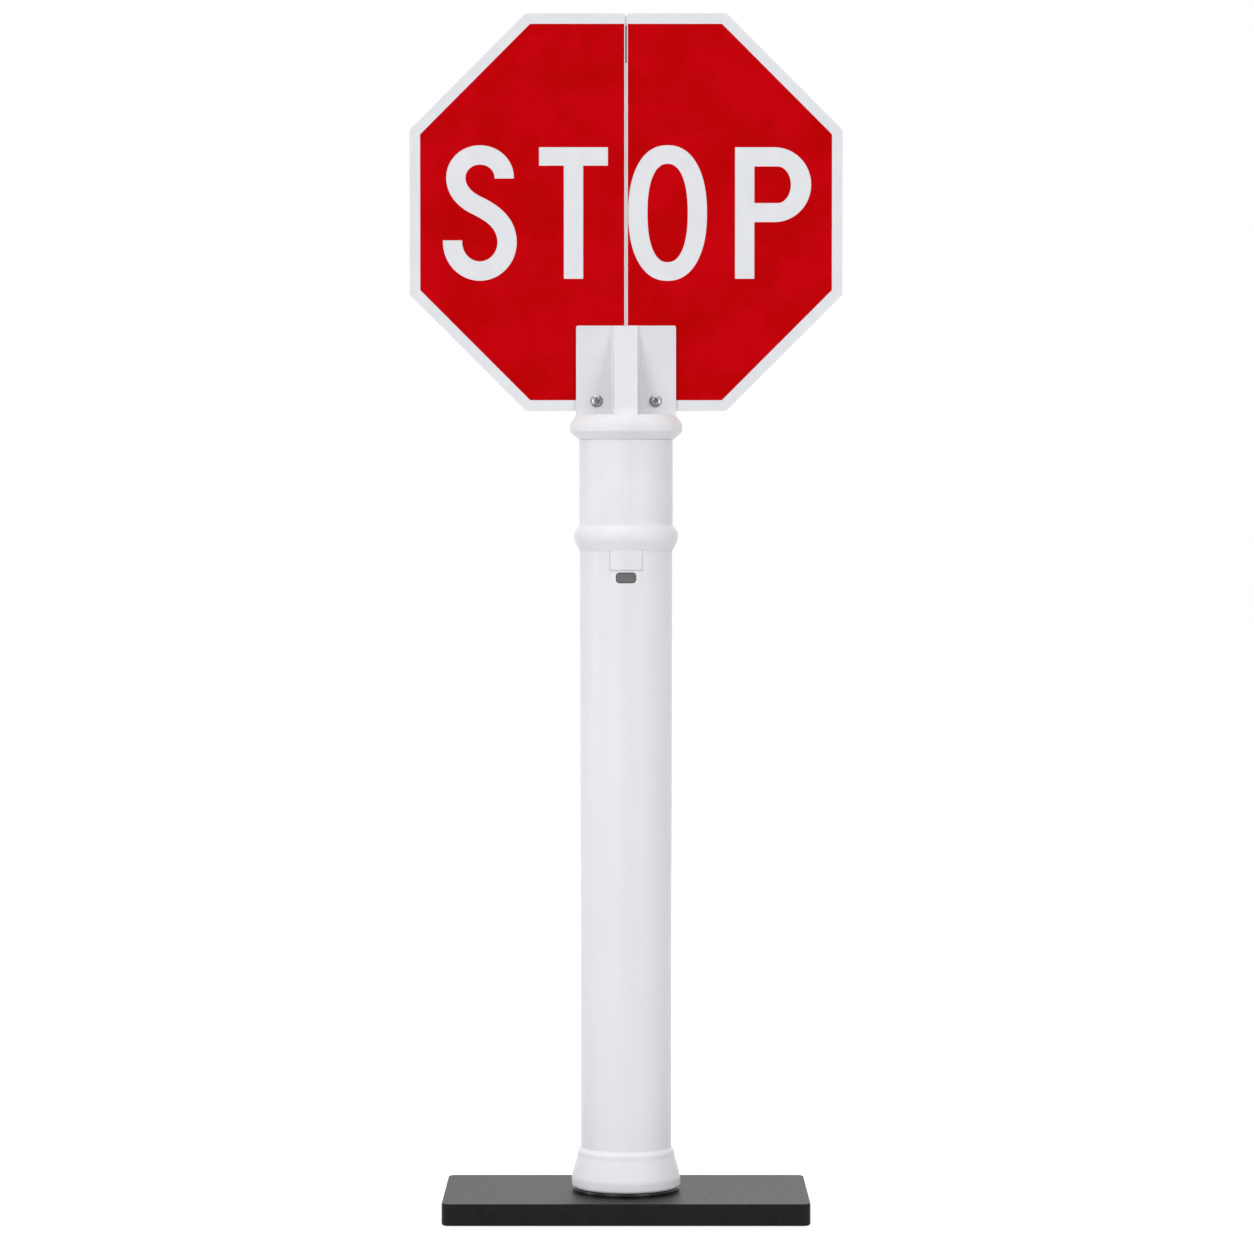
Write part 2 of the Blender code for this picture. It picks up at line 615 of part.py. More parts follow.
def latch_spring(parent):
    """A leaf whose foot lies on the coupler's bore, and whose upper end presses on the keeper."""
    foot, tip = -SPRING_FOOT_FACE, SEAT_GAP - KEEPER_BACK
    outer_side = [(foot, SPRING_BOTTOM), (foot, SPRING_HEEL), (tip, SPRING_BEND), (tip, WINDOW_TOP)]
    inner_side = [(y + SPRING_THICKNESS, z) for y, z in reversed(outer_side)]
    leaf = sideways(prism(outer_side + inner_side, -SPRING_WIDTH / 2, SPRING_WIDTH / 2))
    spring = piece("latch_spring", leaf, "spring_steel", parent)
    hole = upright(cylinder(RIVET_RADIUS + SCREW_GAP, foot - BEYOND, foot + BEYOND))
    cut(spring, "spring_hole", moved(hole, (0, 0, RIVET_HEIGHT)))


def spring_rivet(parent):
    outer_end = SEAT_GAP - NECK_RADIUS
    inner_seat = SPRING_THICKNESS + SEAT_GAP - SPRING_FOOT_FACE
    outline = [
        (0, outer_end),
        (RIVET_HEAD_RADIUS, outer_end),
        (RIVET_HEAD_RADIUS, outer_end + RIVET_HEAD),
        (RIVET_RADIUS, outer_end + RIVET_HEAD),
        (RIVET_RADIUS, inner_seat),
        (RIVET_HEAD_RADIUS, inner_seat),
        (RIVET_HEAD_RADIUS, inner_seat + RIVET_HEAD),
        (0, inner_seat + RIVET_HEAD),
    ]
    rivet = upright(lathe(outline, SMALL_ROUND))
    piece("spring_rivet", moved(rivet, (0, 0, RIVET_HEIGHT)), "zinc_steel", parent)


def head_outline():
    """The head's turned wall: up the bore from the axis, then up the outside and back to the axis."""
    lower, upper = SLEEVE_RADIUS + LOWER_BEAD_PROUD, SLEEVE_RADIUS + UPPER_BEAD_PROUD
    return rounded(
        [
            (0, HEAD_TOP - HEAD_ROOF, 0),
            (SLEEVE_BORE, HEAD_TOP - HEAD_ROOF, 0),
            (SLEEVE_BORE, HEAD_STEP, 0),
            (HEAD_SOCKET, HEAD_STEP, 0),
            (HEAD_SOCKET, HEAD_BOTTOM, 0),
            (SLEEVE_RADIUS + SLEEVE_STEP, HEAD_BOTTOM, 0),
            (lower - LOWER_BEAD_EASE, LOWER_CREASE, 0),
            (lower, (LOWER_CREASE + LOWER_CORNER) / 2, 0),
            (lower - LOWER_BEAD_EASE, LOWER_CORNER, BEAD_SOFTNESS),
            (SLEEVE_RADIUS, LOWER_BEAD_TOP, 0),
            (SLEEVE_RADIUS, UPPER_BEAD_BOTTOM, 0),
            (upper, UPPER_CREASE, 0),
            (upper, UPPER_CORNER, BEAD_SOFTNESS),
            (SHOULDER_RADIUS, HEAD_TOP, 0),
            (0, HEAD_TOP, 0),
        ]
    )


def spine_depth(side, height, wall):
    """How far the sloping face of a spine is from the post's axis, less a wall."""
    flange = -FLANGE_FRONT if side < 0 else FLANGE_BACK
    share = (height - HEAD_TOP) / FLANGE_HEIGHT
    return SHOULDER_RADIUS + (flange + SPINE_TOP_DEPTH - SHOULDER_RADIUS) * share - wall


def spine(side, wall, root, low, high):
    """A wedge with drafted sides that braces a flange, drawn in by a wall all round."""
    narrow = SPINE_WIDTH / 2 - wall
    wide = narrow + SPINE_DRAFT
    bm = bmesh.new()
    loops = []
    for height in (low, high):
        deep = spine_depth(side, height, wall)
        corners = ((-wide, root), (wide, root), (narrow, deep), (-narrow, deep))
        loops.append([bm.verts.new((x, side * y, height)) for x, y in corners])
    edges = [bm.edges.new((loop[i - 1], loop[i])) for loop in loops for i in range(len(loop))]
    bmesh.ops.bridge_loops(bm, edges=edges)
    for loop in loops:
        bm.faces.new(loop)
    return bm


def head_cap(parent):
    """The moulded head: sleeve, beads, roof, flanges with the sign's slot, spines and tongue."""
    head = piece("head_cap", lathe(head_outline()), "white_plastic", parent)
    half, low = SHOULDER_RADIUS, HEAD_TOP - HEAD_ROOF / 2
    corners = [(-half, low, 0), (half, low, 0)]
    corners += [(half, FLANGE_TOP, FLANGE_CORNER), (-half, FLANGE_TOP, FLANGE_CORNER)]
    join(head, "head_flanges", upright(prism(rounded(corners), FLANGE_FRONT, FLANGE_BACK)))
    for side, word, flange in ((-1, "front", -FLANGE_FRONT), (1, "rear", FLANGE_BACK)):
        join(head, f"{word}_spine", spine(side, 0, flange - FLANGE_THICKNESS / 2, low, FLANGE_TOP))
        hollow = spine(side, SPINE_WALL, flange, HEAD_TOP - HEAD_ROOF - BEYOND, FLANGE_TOP - SPINE_SOLID_TOP)
        cut(head, f"{word}_spine_hollow", hollow)
    web = SEAM_WIDTH / 2 - SEAT_GAP
    for side, word in ((-1, "left"), (1, "right")):
        near, far = sorted((side * web, side * (half + BEYOND)))
        slot = box((near, SLOT_FRONT, SLOT_BOTTOM), (far, SLOT_BACK, FLANGE_TOP + BEYOND))
        cut(head, f"{word}_sign_slot", slot)
    cut(head, "flange_screw_holes", screw_holes())
    outer = TUBE_TOP_RADIUS + TONGUE_PROUD
    tongue = join(head, "tongue", ring(RECESS_RADIUS + SLIDE_GAP, outer, TONGUE_BOTTOM - BEYOND, HEAD_STEP))
    outline = rectangle(TONGUE_WIDTH / 2, TONGUE_BOTTOM, HEAD_STEP + BEYOND, TONGUE_CORNER)
    combine(tongue, "INTERSECT", "tongue_outline", upright(prism(outline, -outer - BEYOND, 0)))


def screw_holes():
    radius, low, high = SCREW_RADIUS + SCREW_GAP, FLANGE_FRONT - BEYOND, FLANGE_BACK + BEYOND
    places = [(side * SCREW_SPREAD, 0, SCREW_HEIGHT) for side in (-1, 1)]
    return merged([moved(upright(cylinder(radius, low, high)), place) for place in places])


def half_octagon(side, margin, seam_margin, corner, seam_corner):
    """One half of the sign's outline in XZ, drawn in by one margin outside and by another at the seam."""
    leg = SIGN_HEIGHT / (2 + math.sqrt(2)) - margin * (1 - math.tan(math.pi / 8))
    outer = side * (SIGN_WIDTH / 2 - margin)
    inner = side * (SEAM_WIDTH / 2 + seam_margin)
    low, high = SIGN_BOTTOM + margin, SIGN_TOP - margin
    return rounded(
        [
            (inner, low, seam_corner),
            (outer - side * leg, low, corner),
            (outer, low + leg, corner),
            (outer, high - leg, corner),
            (outer - side * leg, high, corner),
            (inner, high, seam_corner),
        ]
    )


def sign_half(side, word, parent):
    """One half of the sign: its white sheet, and the red film that leaves the white border bare."""
    outline = half_octagon(side, 0, 0, SIGN_CORNER, SEAM_CORNER)
    sheet = upright(prism(outline, SHEET_FRONT, SHEET_BACK))
    cut(piece(f"{word}_panel", sheet, "white_sheet", parent), f"{word}_panel_hole", screw_holes())
    outline = half_octagon(side, BORDER, FILM_SEAM_MARGIN, FILM_CORNER, 0)
    skin = upright(prism(outline, FILM_FRONT, FILM_BACK))
    cut(piece(f"{word}_red_film", skin, "red_film", parent), f"{word}_film_hole", screw_holes())


def seam_strap(parent):
    high = SIGN_TOP - STRAP_DROP
    near = SHEET_BACK + SEAT_GAP
    outline = rectangle(STRAP_WIDTH / 2, high - STRAP_HEIGHT, high, STRAP_CORNER)
    piece("seam_strap", upright(prism(outline, near, near + STRAP_THICKNESS)), "grey_plastic", parent)


def seam_backing(parent):
    """The white strip behind the seam, from the flanges up, with an opening that the strap fills."""
    near = SHEET_BACK + SEAT_GAP
    outline = rectangle(BACKING_WIDTH / 2, FLANGE_TOP + SEAT_GAP, SIGN_TOP - BACKING_DROP, STRAP_CORNER)
    strip = upright(prism(outline, near, near + STRAP_THICKNESS))
    backing = piece("seam_backing", strip, "white_plastic", parent)
    high = SIGN_TOP - STRAP_DROP + SEAT_GAP
    low = high - STRAP_HEIGHT - 2 * SEAT_GAP
    opening = rectangle(STRAP_WIDTH / 2 + SEAT_GAP, low, high, STRAP_CORNER + SEAT_GAP)
    cut(backing, "strap_opening", upright(prism(opening, near - BEYOND, near + STRAP_THICKNESS + BEYOND)))


def screw_dome():
    """Points of a low domed head from its crown to its rim, with the crown below height 0."""
    rise = SCREW_HEAD_HEIGHT
    crown = (SCREW_HEAD_RADIUS**2 + rise**2) / (2 * rise)
    rim = math.asin(SCREW_HEAD_RADIUS / crown)
    angles = [rim * k / DOME_STEPS for k in range(DOME_STEPS + 1)]
    return [(crown * math.sin(angle), crown * (1 - math.cos(angle)) - rise) for angle in angles]


def panel_fasteners(side, word, parent):
    """A Phillips screw from the front, and its washer and nut behind the rear flange."""
    seat = FLANGE_FRONT - SEAT_GAP
    washer_front = FLANGE_BACK + SEAT_GAP
    washer_back = washer_front + SCREW_WASHER_THICKNESS
    nut_front = washer_back + SEAT_GAP
    nut_back = nut_front + SCREW_NUT_HEIGHT
    place = (side * SCREW_SPREAD, 0, SCREW_HEIGHT)
    outline = [(radius, seat + height) for radius, height in screw_dome()]
    outline += [(SCREW_RADIUS, seat), (SCREW_RADIUS, nut_back + SCREW_TIP), (0, nut_back + SCREW_TIP)]
    screw = piece(f"panel_screw_{word}", upright(lathe(outline, SMALL_ROUND)), "zinc_steel", parent, place)
    crown = seat - SCREW_HEAD_HEIGHT
    arm, slot = PHILLIPS_LENGTH / 2, PHILLIPS_SLOT / 2
    for x, z, name in ((arm, slot, "across"), (slot, arm, "upright")):
        recess = box((-x, crown - BEYOND, -z), (x, crown + PHILLIPS_DEPTH, z))
        cut(screw, f"{word}_recess_{name}", recess).location = place
    hole = SCREW_RADIUS + SCREW_GAP
    washer = upright(ring(hole, SCREW_WASHER_RADIUS, washer_front, washer_back, SMALL_ROUND))
    piece(f"panel_washer_{word}", washer, "zinc_steel", parent, place)
    nut = upright(hexagon(SCREW_NUT_FLATS, nut_front, nut_back))
    nut = piece(f"panel_nut_{word}", nut, "zinc_steel", parent, place)
    bore = upright(cylinder(hole, nut_front - BEYOND, nut_back + BEYOND))
    cut(nut, f"panel_nut_bore_{word}", bore).location = place


def build():
    clear_scene()
    base_slab()
    base_hub()
    hub_fasteners()
    post = placed("post_axis", None, location=(0, 0, HUB_TOP))
    foot_skirt(post)
    post_tube(post)
    neck_coupler(post)
    latch_spring(post)
    spring_rivet(post)
    latch = placed("latch_axis", None, post, (0, -BUTTON_FACE, (WINDOW_BOTTOM + WINDOW_TOP) / 2))
    latch_button(latch)
    head = placed("head_axis", None, post, (0, 0, HEAD_STEP))
    head_cap(head)
    seam_strap(head)
    seam_backing(head)
    for side, word in ((-1, "left"), (1, "right")):
        sign_half(side, word, head)
        panel_fasteners(side, word, head)
    shade_crisply()


build()
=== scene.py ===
"""Looks of a portable stop sign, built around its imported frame.

Sizes are in metres. The sign faces -Y, +Z is up, and z = 0 is the floor.
"""

import math

import bmesh
import bpy
from mathutils import Matrix, Vector
from mathutils.geometry import interpolate_bezier


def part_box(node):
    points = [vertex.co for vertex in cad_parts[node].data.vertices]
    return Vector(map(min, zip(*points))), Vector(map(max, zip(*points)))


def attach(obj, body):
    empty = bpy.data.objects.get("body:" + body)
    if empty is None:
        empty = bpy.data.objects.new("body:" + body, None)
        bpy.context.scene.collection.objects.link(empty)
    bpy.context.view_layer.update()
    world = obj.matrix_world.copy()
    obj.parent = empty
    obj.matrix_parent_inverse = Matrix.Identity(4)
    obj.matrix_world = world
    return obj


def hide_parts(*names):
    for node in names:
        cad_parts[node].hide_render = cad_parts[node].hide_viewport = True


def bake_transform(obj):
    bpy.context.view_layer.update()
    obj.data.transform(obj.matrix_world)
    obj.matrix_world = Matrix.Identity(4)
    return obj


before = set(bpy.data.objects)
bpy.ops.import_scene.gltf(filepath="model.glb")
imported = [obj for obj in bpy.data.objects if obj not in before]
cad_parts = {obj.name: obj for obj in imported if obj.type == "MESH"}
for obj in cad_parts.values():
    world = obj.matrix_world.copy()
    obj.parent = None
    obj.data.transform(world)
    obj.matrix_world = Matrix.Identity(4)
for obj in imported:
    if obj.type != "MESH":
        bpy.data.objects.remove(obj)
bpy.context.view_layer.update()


def low(node):
    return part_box(node)[0]


def high(node):
    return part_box(node)[1]


# Slab, hub and foot
SLAB_CORNER = 0.009
SLAB_TOP_EDGE = 0.0012
SLAB_FLOOR_EDGE = 0.0026
BORE_RADIUS = 0.01
BORE_EDGE = 0.0008
HUB_RADIUS = high("base_hub").x
HUB_BOTTOM = low("base_hub").z
HUB_TOP = HUB_BOTTOM + 0.0037
BOSS_TOP = high("base_hub").z
FOOT_RADIUS = high("foot_skirt").x
FOOT_BOTTOM = low("foot_skirt").z
COLLAR_TOP = high("foot_skirt").z
COLLAR_EDGE = COLLAR_TOP - 0.005
CONE_TOP = COLLAR_EDGE - 0.0055
CONE_BOTTOM = FOOT_BOTTOM + 0.0117
COLLAR_RADIUS = FOOT_RADIUS - 0.0072
SOCKET_RADIUS = COLLAR_RADIUS - 0.0031
FOOT_CAVITY = FOOT_RADIUS - 0.0059
LUG_TIP = FOOT_CAVITY - 0.001
BOSS_RADIUS = LUG_TIP - 0.006
BOSS_BORE = BOSS_RADIUS - 0.004
LUG_HEIGHT = 0.0065
LUG_ROOT = 0.002
LUG_ANGLES = (-90, 30, 150)
LUG_FACET = 2.5
LUG_SPAN = 40
STOP_SPAN = 5
TWIST = 45
STOP_GAP = 0.8
FOOT_LUG_BOTTOM = FOOT_BOTTOM + 0.0065
SHELF_BOTTOM = BOSS_TOP + 0.002
SHELF_TOP = SHELF_BOTTOM + 0.004
SHELF_REACH = 0.007

# Tube and coupler
TUBE_BOTTOM = low("post_tube").z
TUBE_TOP = high("post_tube").z
TUBE_TOP_RADIUS = high("post_tube").x
TUBE_BOTTOM_RADIUS = SOCKET_RADIUS - 0.0003
TUBE_WALL = 0.0035
NECK_BOTTOM = low("neck_coupler").z
NECK_TOP = high("neck_coupler").z
NECK_RING = high("neck_coupler").x
NECK_RING_BOTTOM = TUBE_TOP + 0.0003
NECK_RING_TOP = NECK_RING_BOTTOM + 0.004
NECK_WALL = 0.003
NECK_RING_REACH = 0.003647
NECK_RADIUS = NECK_RING - NECK_RING_REACH
RECESS_DEPTH = 0.0016
RECESS_RADIUS = TUBE_TOP_RADIUS - RECESS_DEPTH
RECESS_BELOW_WINDOW = 0.0054
SEAT_GAP = 0.0003
SLIDE_GAP = 0.0004

# Latch
BUTTON_LOW = low("latch_button")
BUTTON_HIGH = high("latch_button")
KEEPER_MARGIN = 0.0024
WINDOW_LOW = BUTTON_LOW.z + KEEPER_MARGIN + 0.0008
WINDOW_HIGH = BUTTON_HIGH.z - KEEPER_MARGIN + 0.0006
WINDOW_HALF_WIDTH = BUTTON_HIGH.x - KEEPER_MARGIN
RECESS_BOTTOM = WINDOW_LOW - RECESS_BELOW_WINDOW
WINDOW_CORNER = 0.0038
WINDOW_THROUGH = 0.003
WINDOW_LIP = 0.0007
NECK_WINDOW_LIP = 0.0003
BUTTON_EDGE = 0.0007
RECESS_LIP = 0.0002
RECESS_SIDE_GAP = 0.00025
RECESS_END_DEPTH = 0.0004
RECESS_RAMP = 0.0008
KEEPER_THICKNESS = 0.0015
SPRING_THICKNESS = 0.0006
SPRING_WIDTH = 0.012
RIVET_HEIGHT = (low("spring_rivet").z + high("spring_rivet").z) / 2
RIVET_RADIUS = 0.0015
RIVET_HEAD_RADIUS = 0.003
RIVET_HEAD = 0.001

# Head
TONGUE_BOTTOM = low("head_cap").z + 0.002
RAMP_TOP = TONGUE_BOTTOM - SLIDE_GAP
HEAD_BOTTOM = low("head_cap").z + 0.0244
HEAD_STEP = NECK_RING_TOP + SEAT_GAP
TONGUE_HALF_WIDTH = 0.0185
TONGUE_RADIUS = TUBE_TOP_RADIUS + 0.0005
TONGUE_CORNER = 0.003
SLEEVE_RADIUS = TUBE_TOP_RADIUS + 0.0005
LOWER_CREASE = HEAD_BOTTOM + 0.0104
LOWER_CORNER = LOWER_CREASE + 0.0114
LOWER_BEAD_TOP = LOWER_CORNER + 0.0072
UPPER_BEAD_RADIUS = high("head_cap").x
LOWER_BEAD_RADIUS = UPPER_BEAD_RADIUS - 0.0047
UPPER_BEAD_BOTTOM = LOWER_BEAD_TOP + 0.0983
UPPER_CREASE = UPPER_BEAD_BOTTOM + 0.009
UPPER_CORNER = UPPER_CREASE + 0.0096
HEAD_TOP = UPPER_CORNER + 0.0096
HEAD_ROOF = 0.0035
SHOULDER_RADIUS = SLEEVE_RADIUS + 0.0037
FLANGE_TOP = high("head_cap").z
GROOVE_HEIGHT = 0.0008
GROOVE_DEPTH = 0.0014
FLANGE_THICKNESS = 0.0035
FLANGE_CORNER = 0.0025
FLANGE_EDGE = 0.0007
SPINE_HALF_WIDTH = 0.0133
SPINE_DRAFT = 0.004
SPINE_TOP_DEPTH = 0.0012
SPINE_EDGE = 0.0008
SPINE_WALL = 0.003
SPINE_SOLID_TOP = 0.009
SPINE_STRIPS = 12
PARTING_RIDGE = 0.00022
PARTING_WIDTH = 0.0014

# Sign
SHEET_LOW = low("left_panel")
SHEET_HIGH = high("right_panel")
SIGN_HEIGHT = SHEET_HIGH.z - SHEET_LOW.z
SIGN_CENTRE = (SHEET_HIGH.z + SHEET_LOW.z) / 2
SIGN_HALF_WIDTH = SHEET_HIGH.x
SEAM_HALF_WIDTH = low("right_panel").x
SIGN_CORNER = 0.006
SEAM_CORNER = 0.002
SHEET_EDGE = 0.0005
SEAM_EDGE = 0.0009
RIB_GAP = 0.0002
RIB_DROP = 0.0006
RIB_ROOT = 0.0005
BORDER = 0.0122
FILM_CORNER = 0.003
FILM_SEAM_MARGIN = 0.00125
FILM_BACK = high("left_red_film").y
FILM_THICKNESS = 0.00012
SLOT_FRONT = low("left_red_film").y - SEAT_GAP
SLOT_BACK = SHEET_HIGH.y + SEAT_GAP
SLOT_BOTTOM = SHEET_LOW.z - SEAT_GAP
FLANGE_FRONT = SLOT_FRONT - FLANGE_THICKNESS
FLANGE_BACK = SLOT_BACK + FLANGE_THICKNESS
STRAP_CORNER = 0.003
EIGHTH_SLOPE = math.tan(math.pi / 8)

# Letters, from the sign's centre
LETTER_TOP = 0.0748
LETTER_BOTTOM = -0.0765
STROKE = 0.0223
OVERSHOOT = 0.0023
S_CENTRE = -0.1683
T_CENTRE = -0.0606
O_CENTRE = 0.0479
P_LEFT = 0.1256
S_UPPER_END = 0.0388
S_LOWER_END = -0.0323
S_SLANT = math.radians(26)

# Fasteners
SCREW_PLACE = (low("panel_screw_right") + high("panel_screw_right")) / 2
SCREW_HEAD_RADIUS = (high("panel_screw_right").x - low("panel_screw_right").x) / 2
SCREW_HEAD_HEIGHT = 0.0032
SCREW_RADIUS = 0.003175
SCREW_GAP = 0.0003
BOLT_RADIUS = 0.003
BOLT_HEAD_HEIGHT = 0.004
BOLT_PLACES = [(low(f"hub_bolt_{i}") + high(f"hub_bolt_{i}")).xy.to_3d() / 2 for i in (1, 2, 3, 4)]
BOLT_HOLE = BOLT_RADIUS + SCREW_GAP
SCREW_HOLE = SCREW_RADIUS + SCREW_GAP
RIVET_HOLE = RIVET_RADIUS + SCREW_GAP
HUB_FLATS = 0.01
HUB_WASHER_RADIUS = 0.009
PANEL_FLATS = 0.0111
PANEL_WASHER_RADIUS = 0.008

# Fineness, and how far cutters run past a piece
ROUND = 144
SMALL_ROUND = 64
STRIP_WIDTH = 0.0015
LIP_STEPS = 4
SHARP = math.radians(35)
BEYOND = 0.004
TINY = 0.000001

# Camera and light
EYE = Vector((0.0011, -4.8, 0.82))
LOOKING_DOWN = math.radians(1.69)
LENS = 119.2
HORIZON = 0.0
ZENITH = 1.22
FLOOR_COLOUR = 0.5
FLOOR_LIFT = 0.65
FLOOR_DROP = 0.0002
FRONT_OF_STUDIO = 0.2
CEILING = 2.4


# Shaping tools

def outline(corners, depth=0.0):
    """The points of (x, z, softness) corners, not yet rounded."""
    bm = bmesh.new()
    return bm, [bm.verts.new((x, depth, z)) for x, z, _ in corners]


def round_corners(bm, points, corners, segments=5):
    """Rounds each corner of a line or face that has a softness."""
    for softness in sorted({corner[2] for corner in corners if corner[2]}):
        chosen = [point for point, corner in zip(points, corners) if corner[2] == softness]
        soften(bm, chosen, softness, segments, "VERTICES")


def lathe(corners, steps=ROUND, angle=math.tau):
    """A solid turned about Z from (radius, height, softness) corners. One that starts on Z ends on it."""
    bm, points = outline(corners)
    following = points[1:] + points[:1] if corners[0][0] > 0 else points[1:]
    for pair in zip(points, following):
        bm.edges.new(pair)
    round_corners(bm, points, corners)
    whole = angle == math.tau
    line = bm.verts[:] + bm.edges[:]
    bmesh.ops.spin(bm, geom=line, axis=(0, 0, 1), cent=(0, 0, 0), angle=angle, steps=steps, use_merge=whole)
    bmesh.ops.remove_doubles(bm, verts=bm.verts, dist=TINY)
    if not whole:
        bmesh.ops.holes_fill(bm, edges=[edge for edge in bm.edges if edge.is_boundary])
    return bm


def rectangle(left, bottom, right, top, soft=0, soft_above=None):
    """Four corners with one softness, or with another for the upper two."""
    above = soft if soft_above is None else soft_above
    return [(left, bottom, soft), (right, bottom, soft), (right, top, above), (left, top, above)]


def rod(radius, start, end):
    return lathe(rectangle(0, start, radius, end), SMALL_ROUND)


def flat(corners, depth, segments):
    """An upright face with its corners rounded."""
    bm, points = outline(corners, depth)
    bm.faces.new(points)
    round_corners(bm, points, corners, segments)
    return bm


def grow(bm, region=None, kind=bmesh.types.BMVert):
    """Extrudes all faces or a region, and gives the new points or faces."""
    grown = bmesh.ops.extrude_face_region(bm, geom=region or bm.faces[:])["geom"]
    return [item for item in grown if isinstance(item, kind)]


def plate(corners, front, back, segments=5):
    """A flat plate between two depths, which faces -Y."""
    bm = flat(corners, front, segments)
    bmesh.ops.translate(bm, verts=grow(bm), vec=(0, back - front, 0))
    return bm


def block(corner, far_corner):
    near, far = Vector(corner), Vector(far_corner)
    bm = bmesh.new()
    bmesh.ops.create_cube(bm, matrix=Matrix.LocRotScale((near + far) / 2, None, far - near))
    return bm


def moved(bm, offset):
    bmesh.ops.translate(bm, vec=offset, verts=bm.verts)
    return bm


def turned(bm, degrees, axis="X"):
    bmesh.ops.rotate(bm, matrix=Matrix.Rotation(math.radians(degrees), 3, axis), verts=bm.verts)
    return bm


def score(bm, point, normal):
    """Divides all faces along a plane."""
    everything = bm.verts[:] + bm.edges[:] + bm.faces[:]
    bmesh.ops.bisect_plane(bm, geom=everything, dist=TINY, plane_co=point, plane_no=normal)


def sharp_edges(bm, keep=lambda at: True):
    """The edges with more than the sharp angle, and whose ends both pass a test."""
    bm.normal_update()
    sharp = [edge for edge in bm.edges if edge.calc_face_angle(0) > SHARP]
    return [edge for edge in sharp if all(keep(vert.co) for vert in edge.verts)]


def soften(bm, parts, width, segments=3, kind="EDGES"):
    bmesh.ops.bevel(
        bm, geom=parts, offset=width, affect=kind, segments=segments, profile=0.5, material=-1,
        clamp_overlap=kind == "EDGES"
    )
    return bm


def repeated(bm, places):
    """One bmesh with a copy of another at each place."""
    mesh = bpy.data.meshes.new("repeated")
    bm.to_mesh(mesh)
    bm.free()
    whole = bmesh.new()
    for place in places:
        whole.from_mesh(mesh)
        bmesh.ops.translate(whole, verts=whole.verts[-len(mesh.vertices):], vec=place)
    bpy.data.meshes.remove(mesh)
    return whole


def placed(name, data, place=(0, 0, 0), turn=(0, 0, 0)):
    obj = bpy.data.objects.new(name, data)
    bpy.context.scene.collection.objects.link(obj)
    obj.location = place
    obj.rotation_euler = turn
    return obj


def solid(name, bm):
    """An object at the origin from a bmesh, with its faces pointing out."""
    bmesh.ops.remove_doubles(bm, verts=bm.verts, dist=TINY)
    bmesh.ops.recalc_face_normals(bm, faces=bm.faces)
    mesh = bpy.data.meshes.new(name)
    bm.to_mesh(mesh)
    bm.free()
    return placed(name, mesh)


def worked(target, operation, bm):
    """Cuts, joins or trims an object with a tool, and closes the cracks at doubles."""
    tool = solid("tool", bm)
    modifier = target.modifiers.new("work", "BOOLEAN")
    modifier.solver = "EXACT"
    modifier.operation = operation
    modifier.object = tool
    before = target.data
    evaluated = target.evaluated_get(bpy.context.evaluated_depsgraph_get())
    target.data = bpy.data.meshes.new_from_object(evaluated)
    target.modifiers.clear()
    bpy.data.meshes.remove(before)
    bpy.data.objects.remove(tool)
    bm = bmesh.new()
    bm.from_mesh(target.data)
    bmesh.ops.remove_doubles(bm, verts=bm.verts, dist=TINY)
    cracks = [edge for edge in bm.edges if edge.is_boundary]
    if cracks:
        bmesh.ops.holes_fill(bm, edges=cracks)
    bm.to_mesh(target.data)
    bm.free()
    return target


def cut(target, bm):
    return worked(target, "DIFFERENCE", bm)


def join(target, bm):
    return worked(target, "UNION", bm)


def dressed(piece, finish, body, node):
    """Gives a finished piece its shading, material and body, and lets it stand for its CAD node."""
    piece.data.shade_smooth()
    piece.data.set_sharp_from_angle(angle=SHARP)
    piece.modifiers.new("even_shading", "WEIGHTED_NORMAL").keep_sharp = True
    piece.data.materials.clear()
    piece.data.materials.append(finish)
    if body:
        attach(piece, body)
    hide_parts(node)


# Material tools

class Wiring:
    """The shader nodes of a material or a world."""

    def __init__(self, owner):
        owner.use_nodes = True
        self.nodes = owner.node_tree.nodes
        self.links = owner.node_tree.links

    def feed(self, socket, value):
        """Links an input to another node's output, sets it to a value, or leaves it for None."""
        if isinstance(value, bpy.types.NodeSocket):
            self.links.new(value, socket)
        elif value is not None:
            socket.default_value = (*value, 1.0) if socket.type == "RGBA" else value

    def node(self, kind, inputs, output=0, **settings):
        """Adds a node with its inputs and settings, and gives one of its outputs."""
        node = self.nodes.new("ShaderNode" + kind)
        for setting, value in settings.items():
            setattr(node, setting, value)
        for socket, value in inputs.items():
            self.feed(node.inputs[socket], value)
        return node.outputs[output]

    def level(self, value, start, end, low=0.0, high=1.0, shape="SMOOTHSTEP"):
        """Maps a value between start and end onto low and high, and holds it there."""
        inputs = {"Value": value, "From Min": start, "From Max": end, "To Min": low, "To Max": high}
        return self.node("MapRange", inputs, "Result", interpolation_type=shape)

    def maths(self, operation, first, second):
        return self.node("Math", {0: first, 1: second}, operation=operation)

    def rays(self, kind):
        """1 for the light rays of a kind, and 0 for the others."""
        return self.node("LightPath", {}, f"Is {kind} Ray")


